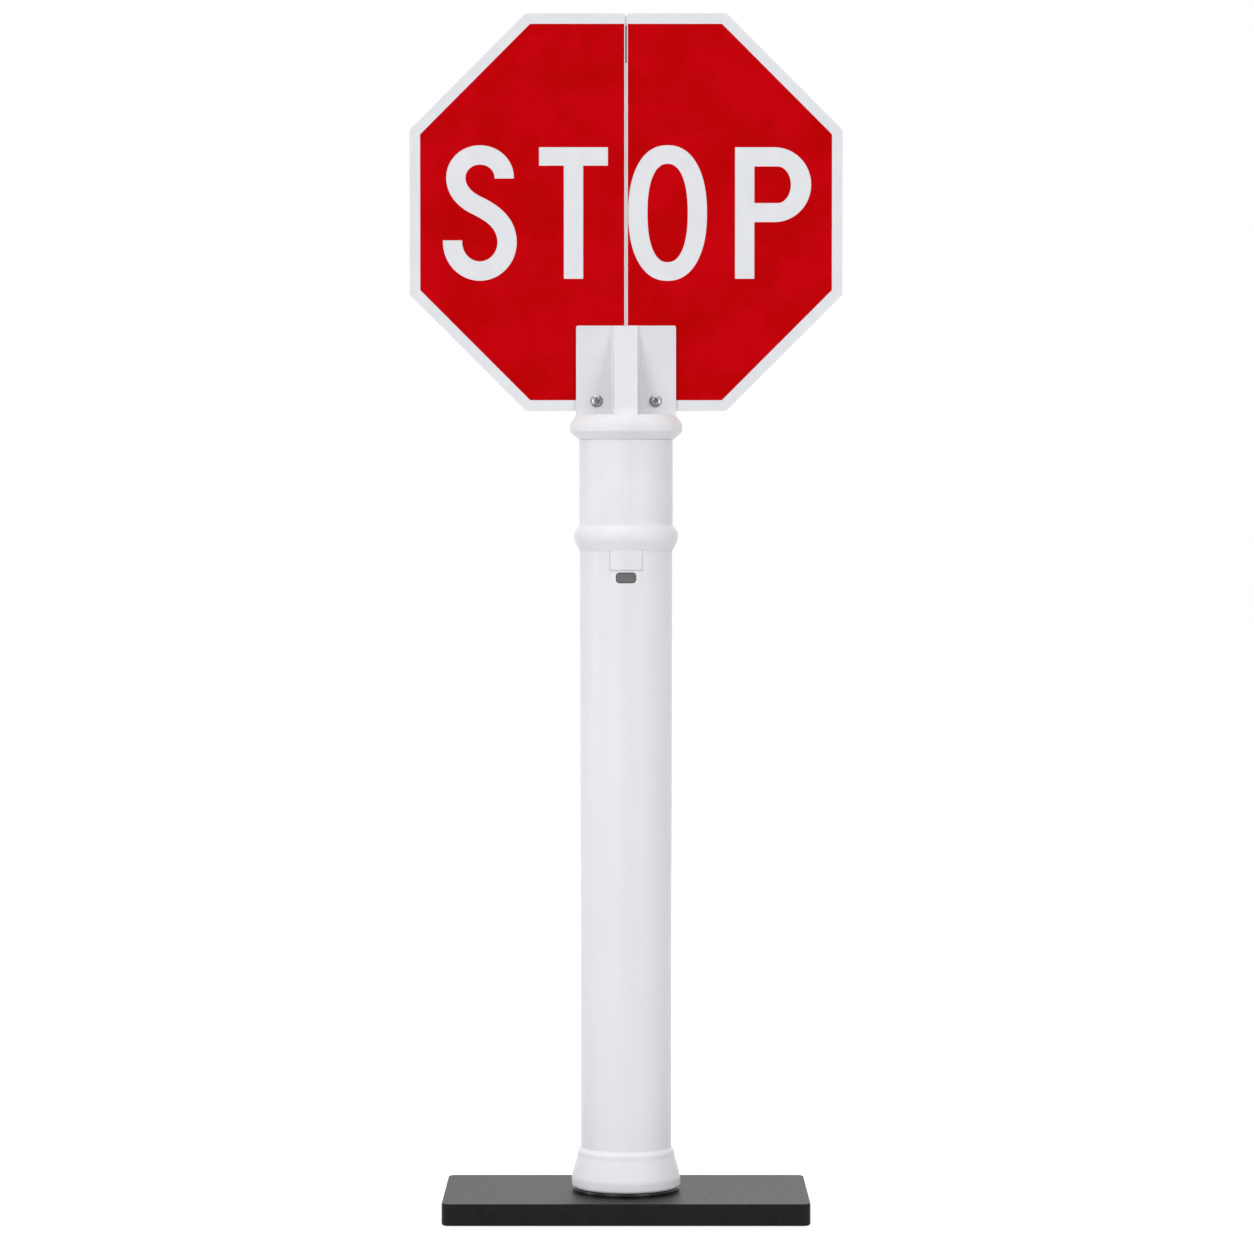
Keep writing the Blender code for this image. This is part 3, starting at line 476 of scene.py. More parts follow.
class Finish(Wiring):
    """A material of grain, streaks and scuffs, whose sizes are metres on the piece itself."""

    def __init__(self, name, specular=0.5, metallic=0.0):
        self.material = bpy.data.materials.new(name)
        super().__init__(self.material)
        self.shader = self.nodes["Principled BSDF"]
        self.shader.inputs["Specular IOR Level"].default_value = specular
        self.shader.inputs["Metallic"].default_value = metallic
        self.place = self.node("TexCoord", {}, "Object")
        self.colour = self.roughness = self.normal = None

    def mapped(self, stretch=(1, 1, 1), turn=(0, 0, 0), shift=(0, 0, 0)):
        angles = [math.radians(degrees) for degrees in turn]
        scale = [1 / amount for amount in stretch]
        inputs = {"Vector": self.place, "Location": shift, "Rotation": angles, "Scale": scale}
        return self.node("Mapping", inputs)

    def grain(self, size, detail=3.0, rough=0.55, **mapping):
        """Noise whose patches are about this size, from 0 to 1."""
        inputs = {"Vector": self.mapped(**mapping), "Scale": 1 / size, "Detail": detail, "Roughness": rough}
        return self.node("TexNoise", inputs, "Fac")

    def cells(self, size, **mapping):
        """Distance to the middle of cells of about this size."""
        return self.node("TexVoronoi", {"Vector": self.mapped(**mapping), "Scale": 1 / size}, "Distance")

    def scratches(self, length, width, amount, seed):
        """Fine straight lines in two directions, 1 on a line and 0 beside it."""
        lines = []
        for turn in ((11, 23, 37), (-29, 14, -52)):
            shift = (seed, seed * 2.3, -seed)
            noise = self.grain(1.0, 2.0, stretch=(width, length, length), turn=turn, shift=shift)
            lines.append(self.level(noise, 1 - amount, 1 - amount + 0.04))
        return self.maths("MAXIMUM", *lines)

    def blend(self, factor, first, second):
        return self.node("Mix", {"Factor": factor, 6: first, 7: second}, 2, data_type="RGBA")

    def clouds(self, first, second, start, end, *grain, **mapping):
        """Sets a colour of two tones in soft patches."""
        self.colour = self.blend(self.level(self.grain(*grain, **mapping), start, end), first, second)

    def paint(self, mask, amount, colour):
        """Lays a colour over the last one by an amount, where the mask is."""
        self.colour = self.blend(self.maths("MULTIPLY", mask, amount), self.colour, colour)

    def sheen(self, low, high, *grain, **mapping):
        """Sets a roughness that varies between two values."""
        self.roughness = self.level(self.grain(*grain, **mapping), 0.3, 0.7, low, high)

    def dull(self, mask, amount):
        """Adds to the roughness where the mask is."""
        self.roughness = self.maths("ADD", self.roughness, self.maths("MULTIPLY", mask, amount))

    def relief(self, height, depth):
        """Adds bumps of a depth in metres."""
        inputs = {"Height": height, "Distance": depth, "Normal": self.normal}
        self.normal = self.node("Bump", inputs)

    def done(self):
        self.feed(self.shader.inputs["Base Color"], self.colour)
        self.feed(self.shader.inputs["Roughness"], self.roughness)
        self.feed(self.shader.inputs["Normal"], self.normal)
        return self.material


# Finishes

def moulded_white():
    """Semi-matt moulded plastic, with painted shade that greys everything above the head's top, where the
    flanges are.
    """
    skin = Finish("moulded_white", 0.25)
    skin.clouds((0.79, 0.797, 0.826), (0.832, 0.838, 0.862), 0.35, 0.68, 0.055, 4)
    scuffs = skin.scratches(0.05, 0.0009, 0.3, 3.1)
    skin.paint(scuffs, 0.18, (0.6, 0.6, 0.62))
    specks = skin.level(skin.cells(0.006, shift=(0.3, 0.1, 0.7)), 0.03, 0.045, 1.0, 0.0)
    skin.paint(specks, 0.22, (0.42, 0.4, 0.38))
    height = skin.node("SeparateXYZ", {"Vector": skin.place}, "Z")
    # Painted shade: a grey laid over everything above the head's top, so that the flanges read darker than
    # the beads.
    skin.paint(skin.level(height, HEAD_TOP, HEAD_TOP + 0.012), 0.34, (0.62, 0.62, 0.64))
    skin.sheen(0.36, 0.47, 0.018, shift=(5, 2, 1))
    skin.dull(scuffs, 0.12)
    skin.relief(skin.grain(0.0035, 2), 0.000018)
    skin.relief(skin.grain(0.0005, 2), 0.000006)
    return skin.done()


def drawn_white():
    """The same white with faint lines along the tube."""
    skin = Finish("drawn_white", 0.25)
    skin.clouds((0.796, 0.803, 0.832), (0.83, 0.836, 0.86), 0.32, 0.7, 0.09, stretch=(1, 1, 3))
    lines = skin.grain(0.0016, stretch=(1, 1, 220))
    skin.paint(skin.level(lines, 0.55, 0.8), 0.25, (0.74, 0.75, 0.78))
    skin.paint(skin.scratches(0.06, 0.0008, 0.28, 7.7), 0.15, (0.6, 0.6, 0.62))
    skin.sheen(0.34, 0.44, 0.03, shift=(1, 7, 2))
    skin.relief(lines, 0.00003)
    skin.relief(skin.grain(0.0006, 2), 0.000008)
    return skin.done()


def white_sheeting():
    """White reflective sheeting with fine glass beads."""
    skin = Finish("white_sheeting", 0.2)
    skin.clouds((0.772, 0.784, 0.818), (0.805, 0.815, 0.84), 0.35, 0.65, 0.022, stretch=(1, 1, 1.6))
    beads = skin.cells(0.00035)
    skin.paint(skin.level(beads, 0.3, 0.7), 0.12, (0.7, 0.71, 0.75))
    skin.paint(skin.scratches(0.03, 0.0006, 0.27, 1.9), 0.14, (0.55, 0.55, 0.57))
    skin.sheen(0.42, 0.54, 0.012, shift=(3, 3, 8))
    skin.relief(beads, 0.000006)
    skin.relief(skin.grain(0.02, 2), 0.00005)
    return skin.done()


def red_sheeting():
    """Red reflective sheeting with the same beads."""
    skin = Finish("red_sheeting", 0.015)
    skin.clouds((0.508, 0.0004, 0.0012), (0.585, 0.0008, 0.0046), 0.38, 0.62, 0.07, 5, 0.6)
    beads = skin.cells(0.00035)
    skin.paint(skin.level(beads, 0.3, 0.7), 0.1, (0.4, 0.0, 0.002))
    skin.paint(skin.scratches(0.035, 0.0006, 0.26, 4.4), 0.1, (0.6, 0.05, 0.06))
    skin.sheen(0.44, 0.58, 0.015, shift=(8, 1, 4))
    skin.relief(beads, 0.000006)
    skin.relief(skin.grain(0.025, 2), 0.00004)
    return skin.done()


def moulded_rubber():
    """Pebbled black rubber with paler wear and a little dust."""
    skin = Finish("moulded_rubber", 0.12)
    skin.clouds((0.0066, 0.0064, 0.0066), (0.0096, 0.0094, 0.0096), 0.35, 0.7, 0.012, 5, 0.7)
    dust = skin.level(skin.grain(0.0011, 4, 0.7, shift=(2, 5, 9)), 0.6, 0.78)
    skin.paint(dust, 0.35, (0.07, 0.069, 0.067))
    skin.paint(skin.scratches(0.02, 0.0007, 0.3, 5.2), 0.45, (0.05, 0.05, 0.051))
    skin.sheen(0.385, 0.435, 0.008, 4, 0.65, shift=(4, 4, 1))
    skin.relief(skin.grain(0.0018), 0.000018)
    skin.relief(skin.cells(0.0008), 0.000008)
    return skin.done()


def glossy_black():
    """Hard glossy black plastic with fine wear."""
    skin = Finish("glossy_black")
    skin.clouds((0.006, 0.006, 0.0065), (0.012, 0.012, 0.0125), 0.35, 0.7, 0.02)
    skin.paint(skin.scratches(0.02, 0.0005, 0.3, 2.6), 0.3, (0.05, 0.05, 0.05))
    skin.sheen(0.16, 0.26, 0.01, shift=(6, 2, 2))
    skin.relief(skin.grain(0.002, 2), 0.000015)
    return skin.done()


def dark_grey():
    """Matt dark grey moulded plastic with a fine pebble."""
    skin = Finish("dark_grey", 0.4)
    skin.clouds((0.124, 0.124, 0.127), (0.146, 0.146, 0.149), 0.35, 0.7, 0.02, 4)
    skin.paint(skin.scratches(0.015, 0.0005, 0.29, 6.3), 0.35, (0.28, 0.28, 0.28))
    skin.sheen(0.44, 0.58, 0.008, shift=(2, 9, 3))
    skin.relief(skin.cells(0.0007), 0.00003)
    return skin.done()


def zinc_plate():
    """Bright zinc plating with a warm cast in places and fine marks from the tumbler."""
    skin = Finish("zinc_plate", metallic=1.0)
    skin.clouds((0.22, 0.225, 0.235), (0.4, 0.405, 0.41), 0.35, 0.7, 0.004, 4)
    warm = skin.level(skin.grain(0.009, 2, shift=(3, 1, 5)), 0.5, 0.75)
    skin.paint(warm, 0.35, (0.4, 0.37, 0.31))
    marks = skin.scratches(0.004, 0.00018, 0.33, 8.8)
    skin.sheen(0.2, 0.34, 0.0016)
    skin.dull(marks, 0.15)
    skin.relief(marks, 0.000006)
    skin.relief(skin.grain(0.0006), 0.000008)
    return skin.done()


def rolled_spring_steel():
    """Blued strip with the mill's lines along it."""
    skin = Finish("rolled_spring_steel", metallic=1.0)
    lines = skin.grain(0.0004, stretch=(1, 1, 60))
    skin.colour = skin.blend(skin.level(lines, 0.3, 0.7), (0.34, 0.35, 0.37), (0.5, 0.5, 0.52))
    heat = skin.level(skin.grain(0.012, shift=(1, 1, 6)), 0.4, 0.7)
    skin.paint(heat, 0.4, (0.3, 0.33, 0.42))
    skin.roughness = skin.level(lines, 0.3, 0.7, 0.26, 0.4)
    skin.relief(lines, 0.000006)
    return skin.done()


# Slab, hub and their fasteners

def rubber_slab(finish):
    """The slab: a crisp top edge, a softer one at the floor and four counterbores."""
    bm = block(low("base_slab"), high("base_slab"))
    upright = [edge for edge in bm.edges if abs(edge.verts[0].co.z - edge.verts[1].co.z) > TINY]
    soften(bm, upright, SLAB_CORNER, 10)
    top = high("base_slab").z
    soften(bm, sharp_edges(bm, lambda at: at.z > top - TINY), SLAB_TOP_EDGE, 4)
    soften(bm, sharp_edges(bm, lambda at: at.z < TINY), SLAB_FLOOR_EDGE, 5)
    slab = solid("rubber_slab", bm)
    seat = high("hub_washer_1").z + SEAT_GAP
    bore = [
        (0, -BEYOND, 0), (BORE_RADIUS + BORE_EDGE + BEYOND, -BEYOND, 0),
        (BORE_RADIUS, BORE_EDGE, 0), (BORE_RADIUS, seat, 0.0004),
        (BOLT_HOLE, seat, 0), (BOLT_HOLE, top + BEYOND, 0), (0, top + BEYOND, 0),
    ]
    cut(slab, repeated(lathe(bore, SMALL_ROUND), BOLT_PLACES))
    dressed(slab, finish, "base", "base_slab")


def lug(root, tip, bottom, top, middle, span):
    """A bayonet's lug: a slice of a ring about Z with a soft tip."""
    corners = [(root, bottom, 0), (tip, bottom, 0.0005), (tip, top, 0.0005), (root, top, 0)]
    ring = lathe(corners, max(3, round(span / LUG_FACET)), math.radians(span))
    return turned(ring, middle - span / 2, "Z")


def hub_disc(finish):
    """The black disc, its boss, and the bayonet's lugs and end stops."""
    corners = [
        (0, HUB_BOTTOM, 0), (HUB_RADIUS, HUB_BOTTOM, 0.0004), (HUB_RADIUS, HUB_TOP, 0.0013),
        (BOSS_RADIUS, HUB_TOP, 0.0008), (BOSS_RADIUS, BOSS_TOP, 0.0005),
        (BOSS_BORE, BOSS_TOP, 0.0005), (BOSS_BORE, HUB_TOP, 0.0008), (0, HUB_TOP, 0),
    ]
    hub = solid("hub_disc", lathe(corners))
    root = BOSS_RADIUS - LUG_ROOT
    lead = (LUG_SPAN + STOP_SPAN) / 2 + STOP_GAP
    for middle in LUG_ANGLES:
        join(hub, lug(root, LUG_TIP, BOSS_TOP - LUG_HEIGHT, BOSS_TOP, middle, LUG_SPAN))
        for stop in (middle - lead, middle + TWIST + lead):
            join(hub, lug(root, LUG_TIP, HUB_TOP - 0.0012, BOSS_TOP, stop, STOP_SPAN))
    cut(hub, repeated(rod(BOLT_HOLE, -BEYOND, HUB_TOP + BEYOND), BOLT_PLACES))
    dressed(hub, finish, "base", "base_hub")


def hex_bar(name, flats, bottom, top, both_ends=False):
    """A hexagon bar with its corners turned off at the top, or at both ends."""
    reach, trim = flats / math.sqrt(3), flats / 2
    drop = (reach - trim) * math.tan(math.radians(30))
    kept = [(0, bottom, 0), (trim, bottom, 0), (reach, bottom + drop, 0)]
    if not both_ends:
        kept = [(0, bottom - BEYOND, 0), (reach * 1.2, bottom - BEYOND, 0)]
    kept += [(reach, top - drop, 0), (trim, top, 0), (0, top, 0)]
    bar = solid(name, lathe(rectangle(0, bottom, reach, top), 6))
    return worked(bar, "INTERSECT", lathe(kept, SMALL_ROUND))


def washer_ring(hole, radius, bottom, top):
    return lathe(rectangle(hole, bottom, radius, top, 0.0002), SMALL_ROUND)


def fastener(piece, place, finish, body, node):
    """Puts a fastener's mesh in its place, and leaves its object at the origin."""
    piece.data.transform(Matrix.Translation(place))
    dressed(piece, finish, body, node)


def hub_fasteners(finish):
    seat = HUB_TOP + SEAT_GAP
    for i, place in enumerate(BOLT_PLACES, start=1):
        node = f"hub_bolt_{i}"
        bolt = hex_bar(f"zinc_bolt_{i}", HUB_FLATS, seat, high(node).z)
        tip, inside = low(node).z, seat + BOLT_HEAD_HEIGHT / 2
        shank = [(0, tip, 0), (BOLT_RADIUS, tip, 0.0007), (BOLT_RADIUS, inside, 0), (0, inside, 0)]
        join(bolt, lathe(shank, SMALL_ROUND))
        fastener(bolt, place, finish, "base", node)
        node = f"hub_washer_{i}"
        ring = washer_ring(BOLT_HOLE, HUB_WASHER_RADIUS, low(node).z, high(node).z)
        fastener(solid(f"zinc_washer_{i}", ring), place, finish, "base", node)
        node = f"hub_nut_{i}"
        nut = hex_bar(f"zinc_nut_{i}", HUB_FLATS, low(node).z, high(node).z, True)
        cut(nut, rod(BOLT_HOLE, -BEYOND, HUB_TOP))
        fastener(nut, place, finish, "base", node)


# Foot, tube and coupler

def foot_bell(finish):
    """The white bell with its collar, hollow below its shelf."""
    corners = [
        (FOOT_CAVITY, FOOT_BOTTOM, 0.0006), (FOOT_RADIUS, FOOT_BOTTOM, 0.0036),
        (FOOT_RADIUS, CONE_BOTTOM, 0.0022), (COLLAR_RADIUS + 0.0006, CONE_TOP, 0.0005),
        (COLLAR_RADIUS, COLLAR_EDGE, 0.001), (SOCKET_RADIUS, COLLAR_TOP, 0.0003),
        (SOCKET_RADIUS, SHELF_TOP, 0), (SOCKET_RADIUS - SHELF_REACH, SHELF_TOP, 0.0005),
        (SOCKET_RADIUS - SHELF_REACH, SHELF_BOTTOM, 0.0005), (FOOT_CAVITY, SHELF_BOTTOM, 0.001),
    ]
    foot = solid("foot_bell", lathe(corners))
    root, tip, top = FOOT_CAVITY + LUG_ROOT, BOSS_RADIUS + SLIDE_GAP, FOOT_LUG_BOTTOM + LUG_HEIGHT
    for middle in LUG_ANGLES:
        join(foot, lug(root, tip, FOOT_LUG_BOTTOM, top, middle, LUG_SPAN))
    dressed(foot, finish, "post", "foot_skirt")


def strips(bm, heights=()):
    """Divides a flat shape so that it can follow a round wall."""
    width = 2 * max(point.co.x for point in bm.verts)
    count = math.ceil(width / STRIP_WIDTH)
    for i in range(1, count):
        score(bm, (width * i / count - width / 2, 0, 0), (1, 0, 0))
    for height in heights:
        score(bm, (0, 0, height), (0, 0, 1))


def wrap(points, radius_at):
    """Lays points on the front of a round wall, whose radius may change with height."""
    for point in points:
        point.co.y = -math.sqrt(max(radius_at(point.co.z) ** 2 - point.co.x**2, 0))


def lipped_cutter(half_width, bottom, top, corner, surface, floor, lip, heights=()):
    """A cutter for an opening in the front of a round wall, with a rounded rim."""
    wide, low_edge, high_edge = half_width + lip, bottom - lip, top + lip
    corners = rectangle(-wide, low_edge, wide, high_edge, corner + lip)
    bm = flat(corners, -TUBE_TOP_RADIUS - 2 * BEYOND, 8)
    strips(bm, heights)
    middle = Matrix.Translation((0, 0, -(bottom + top) / 2))
    half_height = (high_edge - low_edge) / 2
    region, inset_so_far = None, 0.0
    for i in range(LIP_STEPS + 2):
        front = grow(bm, region, bmesh.types.BMFace)
        region = front + list({edge for face in front for edge in face.edges})
        verts = list({vert for face in front for vert in face.verts})
        angle = math.pi / 2 * min(i, LIP_STEPS) / LIP_STEPS
        inset = lip * math.sin(angle)
        narrower = (wide - inset) / (wide - inset_so_far)
        lower = (half_height - inset) / (half_height - inset_so_far)
        bmesh.ops.scale(bm, verts=verts, vec=(narrower, 1, lower), space=middle)
        inset_so_far = inset
        if i > LIP_STEPS:
            wrap(verts, floor)
        else:
            sunk = 1 - math.cos(angle)
            wrap(verts, lambda z: surface(z) - min(lip, 0.6 * (surface(z) - floor(z))) * sunk)
    return bm


def recess_floor(z):
    """The radius of the recess's floor: deep behind the tongue, then a short ramp to a shallow end."""
    share = min(max((RAMP_TOP - z) / RECESS_RAMP, 0), 1)
    return RECESS_RADIUS + share * (RECESS_DEPTH - RECESS_END_DEPTH)


def latch_openings(target, inner_radius, outside, lip):
    """The tongue's recess and the latch's window in the front of a wall."""
    cut(target, lipped_cutter(
        TONGUE_HALF_WIDTH + RECESS_SIDE_GAP, RECESS_BOTTOM, NECK_RING_TOP + BEYOND, TONGUE_CORNER,
        lambda z: TUBE_TOP_RADIUS, recess_floor, RECESS_LIP, (RAMP_TOP, RAMP_TOP - RECESS_RAMP)
    ))
    cut(target, lipped_cutter(
        WINDOW_HALF_WIDTH, WINDOW_LOW, WINDOW_HIGH, WINDOW_CORNER,
        outside, lambda z: inner_radius - WINDOW_THROUGH, lip
    ))


def tube_wall(finish):
    corners = [
        (TUBE_BOTTOM_RADIUS - TUBE_WALL, TUBE_BOTTOM, 0.0003),
        (TUBE_BOTTOM_RADIUS, TUBE_BOTTOM, 0.0003), (TUBE_TOP_RADIUS, TUBE_TOP, 0.0005),
        (TUBE_TOP_RADIUS - TUBE_WALL, TUBE_TOP, 0.0005),
    ]
    tube = solid("tube_wall", lathe(corners))
    latch_openings(tube, TUBE_TOP_RADIUS - TUBE_WALL, recess_floor, WINDOW_LIP)
    dressed(tube, finish, "post", "post_tube")


def rivet_shape(corners):
    """A turned shape on the rivet's axis."""
    return moved(turned(lathe(corners, SMALL_ROUND), -90), (0, 0, RIVET_HEIGHT))


def neck_sleeve(finish):
    """The coupler: a sleeve in the tube, a ring on its rim, and the neck inside the head."""
    bore = NECK_RADIUS - NECK_WALL
    corners = [
        (bore, NECK_BOTTOM, 0.0006), (NECK_RADIUS, NECK_BOTTOM, 0.001),
        (NECK_RADIUS, NECK_RING_BOTTOM, 0), (NECK_RING, NECK_RING_BOTTOM, 0.0003),
        (NECK_RING, NECK_RING_TOP, 0.0003), (NECK_RADIUS, NECK_RING_TOP, 0.0004),
        (NECK_RADIUS, NECK_TOP, 0.0016), (bore, NECK_TOP, 0.0006),
    ]
    sleeve = solid("neck_sleeve", lathe(corners))
    latch_openings(sleeve, bore, lambda z: NECK_RADIUS, NECK_WINDOW_LIP)
    outside, inside = -NECK_RADIUS - BEYOND, -bore / 2
    seat, sink = RIVET_HEAD + 2 * SEAT_GAP - NECK_RADIUS, RIVET_HEAD_RADIUS + SCREW_GAP
    hole = [(0, outside, 0), (sink, outside, 0), (sink, seat, 0), (RIVET_HOLE, seat, 0)]
    cut(sleeve, rivet_shape(hole + [(RIVET_HOLE, inside, 0), (0, inside, 0)]))
    dressed(sleeve, finish, "post", "neck_coupler")


# Latch

def button_block(finish):
    """The button with soft edges, on the wider keeper plate behind the wall."""
    wide, bottom, top = WINDOW_HALF_WIDTH - SEAT_GAP, WINDOW_LOW + SEAT_GAP, WINDOW_HIGH - SEAT_GAP
    front, back, soft = BUTTON_LOW.y, BUTTON_HIGH.y, WINDOW_CORNER - SEAT_GAP
    bm = plate(rectangle(-wide, bottom, wide, top, soft), front, back - KEEPER_THICKNESS / 2, 8)
    soften(bm, sharp_edges(bm, lambda at: at.y < front + TINY), BUTTON_EDGE, 4)
    button = solid("button_block", bm)
    corners = rectangle(-BUTTON_HIGH.x, BUTTON_LOW.z, BUTTON_HIGH.x, BUTTON_HIGH.z, soft)
    bm = plate(corners, back - KEEPER_THICKNESS, back, 8)
    join(button, soften(bm, sharp_edges(bm), 0.0002, 2))
    dressed(button, finish, "latch", "latch_button")


def spring_leaf(finish):
    """A bent strip from its foot on the coupler's bore to the keeper, which bends it."""
    (_, foot, bottom), (_, tip, top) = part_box("latch_spring")
    tip -= SPRING_THICKNESS
    bend = BUTTON_LOW.z
    heel = bend - 0.012
    path = [(foot, bottom, 0), (foot, heel, 0.002), (tip, bend, 0.002), (tip, top, 0)]
    back = [(y + SPRING_THICKNESS, z, soft) for y, z, soft in reversed(path)]
    bm = turned(plate(path + back, -SPRING_WIDTH / 2, SPRING_WIDTH / 2), 90, "Z")
    leaf = solid("spring_leaf", soften(bm, sharp_edges(bm), 0.0001, 2))
    cut(leaf, rivet_shape(rectangle(0, foot - BEYOND, RIVET_HOLE, foot + BEYOND)))
    dressed(leaf, finish, None, "latch_spring")
    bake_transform(leaf)


def rivet(finish):
    outer, inner = low("spring_rivet").y, high("spring_rivet").y
    corners = [
        (0, outer, 0), (RIVET_HEAD_RADIUS, outer, 0.0004),
        (RIVET_HEAD_RADIUS, outer + RIVET_HEAD, 0), (RIVET_RADIUS, outer + RIVET_HEAD, 0),
        (RIVET_RADIUS, inner - RIVET_HEAD, 0), (RIVET_HEAD_RADIUS, inner - RIVET_HEAD, 0),
        (RIVET_HEAD_RADIUS, inner, 0.0008), (0, inner, 0),
    ]
    dressed(solid("leaf_rivet", rivet_shape(corners)), finish, "post", "spring_rivet")


# Head

def head_profile():
    """The head's turned wall: down the bore from the axis, then up the outside to the roof."""
    bore = NECK_RADIUS + SLIDE_GAP
    socket = TUBE_TOP_RADIUS + SEAT_GAP
    groove, groove_bottom = SLEEVE_RADIUS - GROOVE_DEPTH, UPPER_BEAD_BOTTOM - GROOVE_HEIGHT
    return [
        (0, HEAD_TOP - HEAD_ROOF, 0), (bore, HEAD_TOP - HEAD_ROOF, 0.001),
        (bore, HEAD_STEP, 0.0003), (socket, HEAD_STEP, 0), (socket, HEAD_BOTTOM, 0.0002),
        (SLEEVE_RADIUS + 0.0005, HEAD_BOTTOM, 0), (LOWER_BEAD_RADIUS - 0.0009, LOWER_CREASE, 0.0007),
        (LOWER_BEAD_RADIUS, (LOWER_CREASE + LOWER_CORNER) / 2, 0.002),
        (LOWER_BEAD_RADIUS - 0.0009, LOWER_CORNER, 0.0032), (SLEEVE_RADIUS, LOWER_BEAD_TOP, 0.0011),
        (SLEEVE_RADIUS, groove_bottom, 0.0001), (groove, groove_bottom, 0), (groove, UPPER_BEAD_BOTTOM, 0),
        (SLEEVE_RADIUS + 0.0007, UPPER_BEAD_BOTTOM, 0.0001),
        (UPPER_BEAD_RADIUS, UPPER_CREASE, 0.0008), (UPPER_BEAD_RADIUS, UPPER_CORNER, 0.0042),
        (SHOULDER_RADIUS, HEAD_TOP, 0.0005), (0, HEAD_TOP, 0),
    ]


def parting_line(bm, nearest):
    """Raises the mould's faint ridge down the front and back, past the nearest depth."""
    for x in (-PARTING_WIDTH / 2, 0, PARTING_WIDTH / 2):
        score(bm, (x, 0, 0), (1, 0, 0))
    for vert in bm.verts:
        if abs(vert.co.x) < TINY and abs(vert.co.y) > nearest:
            vert.co.y += math.copysign(PARTING_RIDGE, vert.co.y)


def spine(side, flange, wall, root, bottom, top):
    """A wedge that braces a flange, drawn in by a wall all round."""
    narrow = SPINE_HALF_WIDTH - wall
    wide = narrow + SPINE_DRAFT
    slope = (flange + SPINE_TOP_DEPTH - SHOULDER_RADIUS) / (FLANGE_TOP - HEAD_TOP)
    bm = bmesh.new()
    loops = []
    for i in range(SPINE_STRIPS + 1):
        height = bottom + (top - bottom) * i / SPINE_STRIPS
        deep = SHOULDER_RADIUS + slope * (height - HEAD_TOP) - wall
        corners = ((-wide, root), (wide, root), (narrow, deep), (-narrow, deep))
        loops.append([bm.verts.new((x, side * y, height)) for x, y in corners])
    for below, above in zip(loops, loops[1:]):
        for i in range(4):
            bm.faces.new((below[i - 1], below[i], above[i], above[i - 1]))
    bm.faces.new(loops[0])
    bm.faces.new(loops[-1])
    bmesh.ops.recalc_face_normals(bm, faces=bm.faces)
    return bm


def spine_solid(side, flange):
    """A spine's outer shape, with its two long front edges softened."""
    bm = spine(side, flange, 0, flange - FLANGE_THICKNESS / 2, HEAD_TOP - HEAD_ROOF / 2, FLANGE_TOP)
    narrow = SPINE_HALF_WIDTH + TINY
    front = [edge for edge in bm.edges if all(abs(v.co.x) < narrow for v in edge.verts)]
    long_edges = [edge for edge in front if abs(edge.verts[0].co.x - edge.verts[1].co.x) < TINY]
    soften(bm, long_edges, SPINE_EDGE, 4)
    parting_line(bm, flange)
    return bm


def head_shell(finish):
    """The moulded head with its beads, flanges, spines and tongue."""
    bm = lathe(head_profile())
    parting_line(bm, SLEEVE_RADIUS - 0.0002)
    head = solid("head_shell", bm)
    half, bottom = SHOULDER_RADIUS, HEAD_TOP - HEAD_ROOF / 2
    bm = plate(rectangle(-half, bottom, half, FLANGE_TOP, 0, FLANGE_CORNER), FLANGE_FRONT, FLANGE_BACK)
    long_edges = [edge for edge in sharp_edges(bm) if edge.calc_length() > 0.001]
    join(head, soften(bm, long_edges, FLANGE_EDGE))
    for side, flange in ((-1, -FLANGE_FRONT), (1, FLANGE_BACK)):
        join(head, spine_solid(side, flange))
        bottom, top = HEAD_TOP - HEAD_ROOF - BEYOND, FLANGE_TOP - SPINE_SOLID_TOP
        cut(head, spine(side, flange, SPINE_WALL, flange, bottom, top))
    web = SEAM_HALF_WIDTH - SEAT_GAP
    for side in (-1, 1):
        near, far = sorted((side * web, side * (half + BEYOND)))
        cut(head, block((near, SLOT_FRONT, SLOT_BOTTOM), (far, SLOT_BACK, FLANGE_TOP + BEYOND)))
    cut(head, screw_holes())
    join(head, tongue())
    dressed(head, finish, "head", "head_cap")


def tongue():
    """The tongue that hangs in the tube's recess, curved as the tube is."""
    corners = rectangle(-TONGUE_HALF_WIDTH, TONGUE_BOTTOM, TONGUE_HALF_WIDTH, HEAD_STEP, TONGUE_CORNER, 0)
    bm = flat(corners, -TONGUE_RADIUS, 8)
    strips(bm)
    wrap(bm.verts, lambda z: TONGUE_RADIUS)
    wrap(grow(bm), lambda z: RECESS_RADIUS + SLIDE_GAP)
    bmesh.ops.recalc_face_normals(bm, faces=bm.faces)
    return soften(bm, sharp_edges(bm, lambda at: at.xy.length > TONGUE_RADIUS - TINY), 0.0002)


def screw_holes():
    hole = turned(rod(SCREW_HOLE, FLANGE_FRONT - BEYOND, FLANGE_BACK + BEYOND), -90)
    return repeated(hole, [(side * SCREW_PLACE.x, 0, SCREW_PLACE.z) for side in (-1, 1)])


# Sign

def half_octagon(side, margin, seam_margin, corner, seam_corner):
    """One half of the sign, drawn in by one margin outside and by another at the seam."""
    leg = SIGN_HEIGHT / (2 + math.sqrt(2)) - margin * (1 - EIGHTH_SLOPE)
    outer = side * (SIGN_HALF_WIDTH - margin)
    inner = side * (SEAM_HALF_WIDTH + seam_margin)
    bottom, top, soft = SHEET_LOW.z + margin, SHEET_HIGH.z - margin, corner * EIGHTH_SLOPE
    return [
        (inner, bottom, seam_corner), (outer - side * leg, bottom, soft),
        (outer, bottom + leg, soft), (outer, top - leg, soft), (outer - side * leg, top, soft),
        (inner, top, seam_corner),
    ]


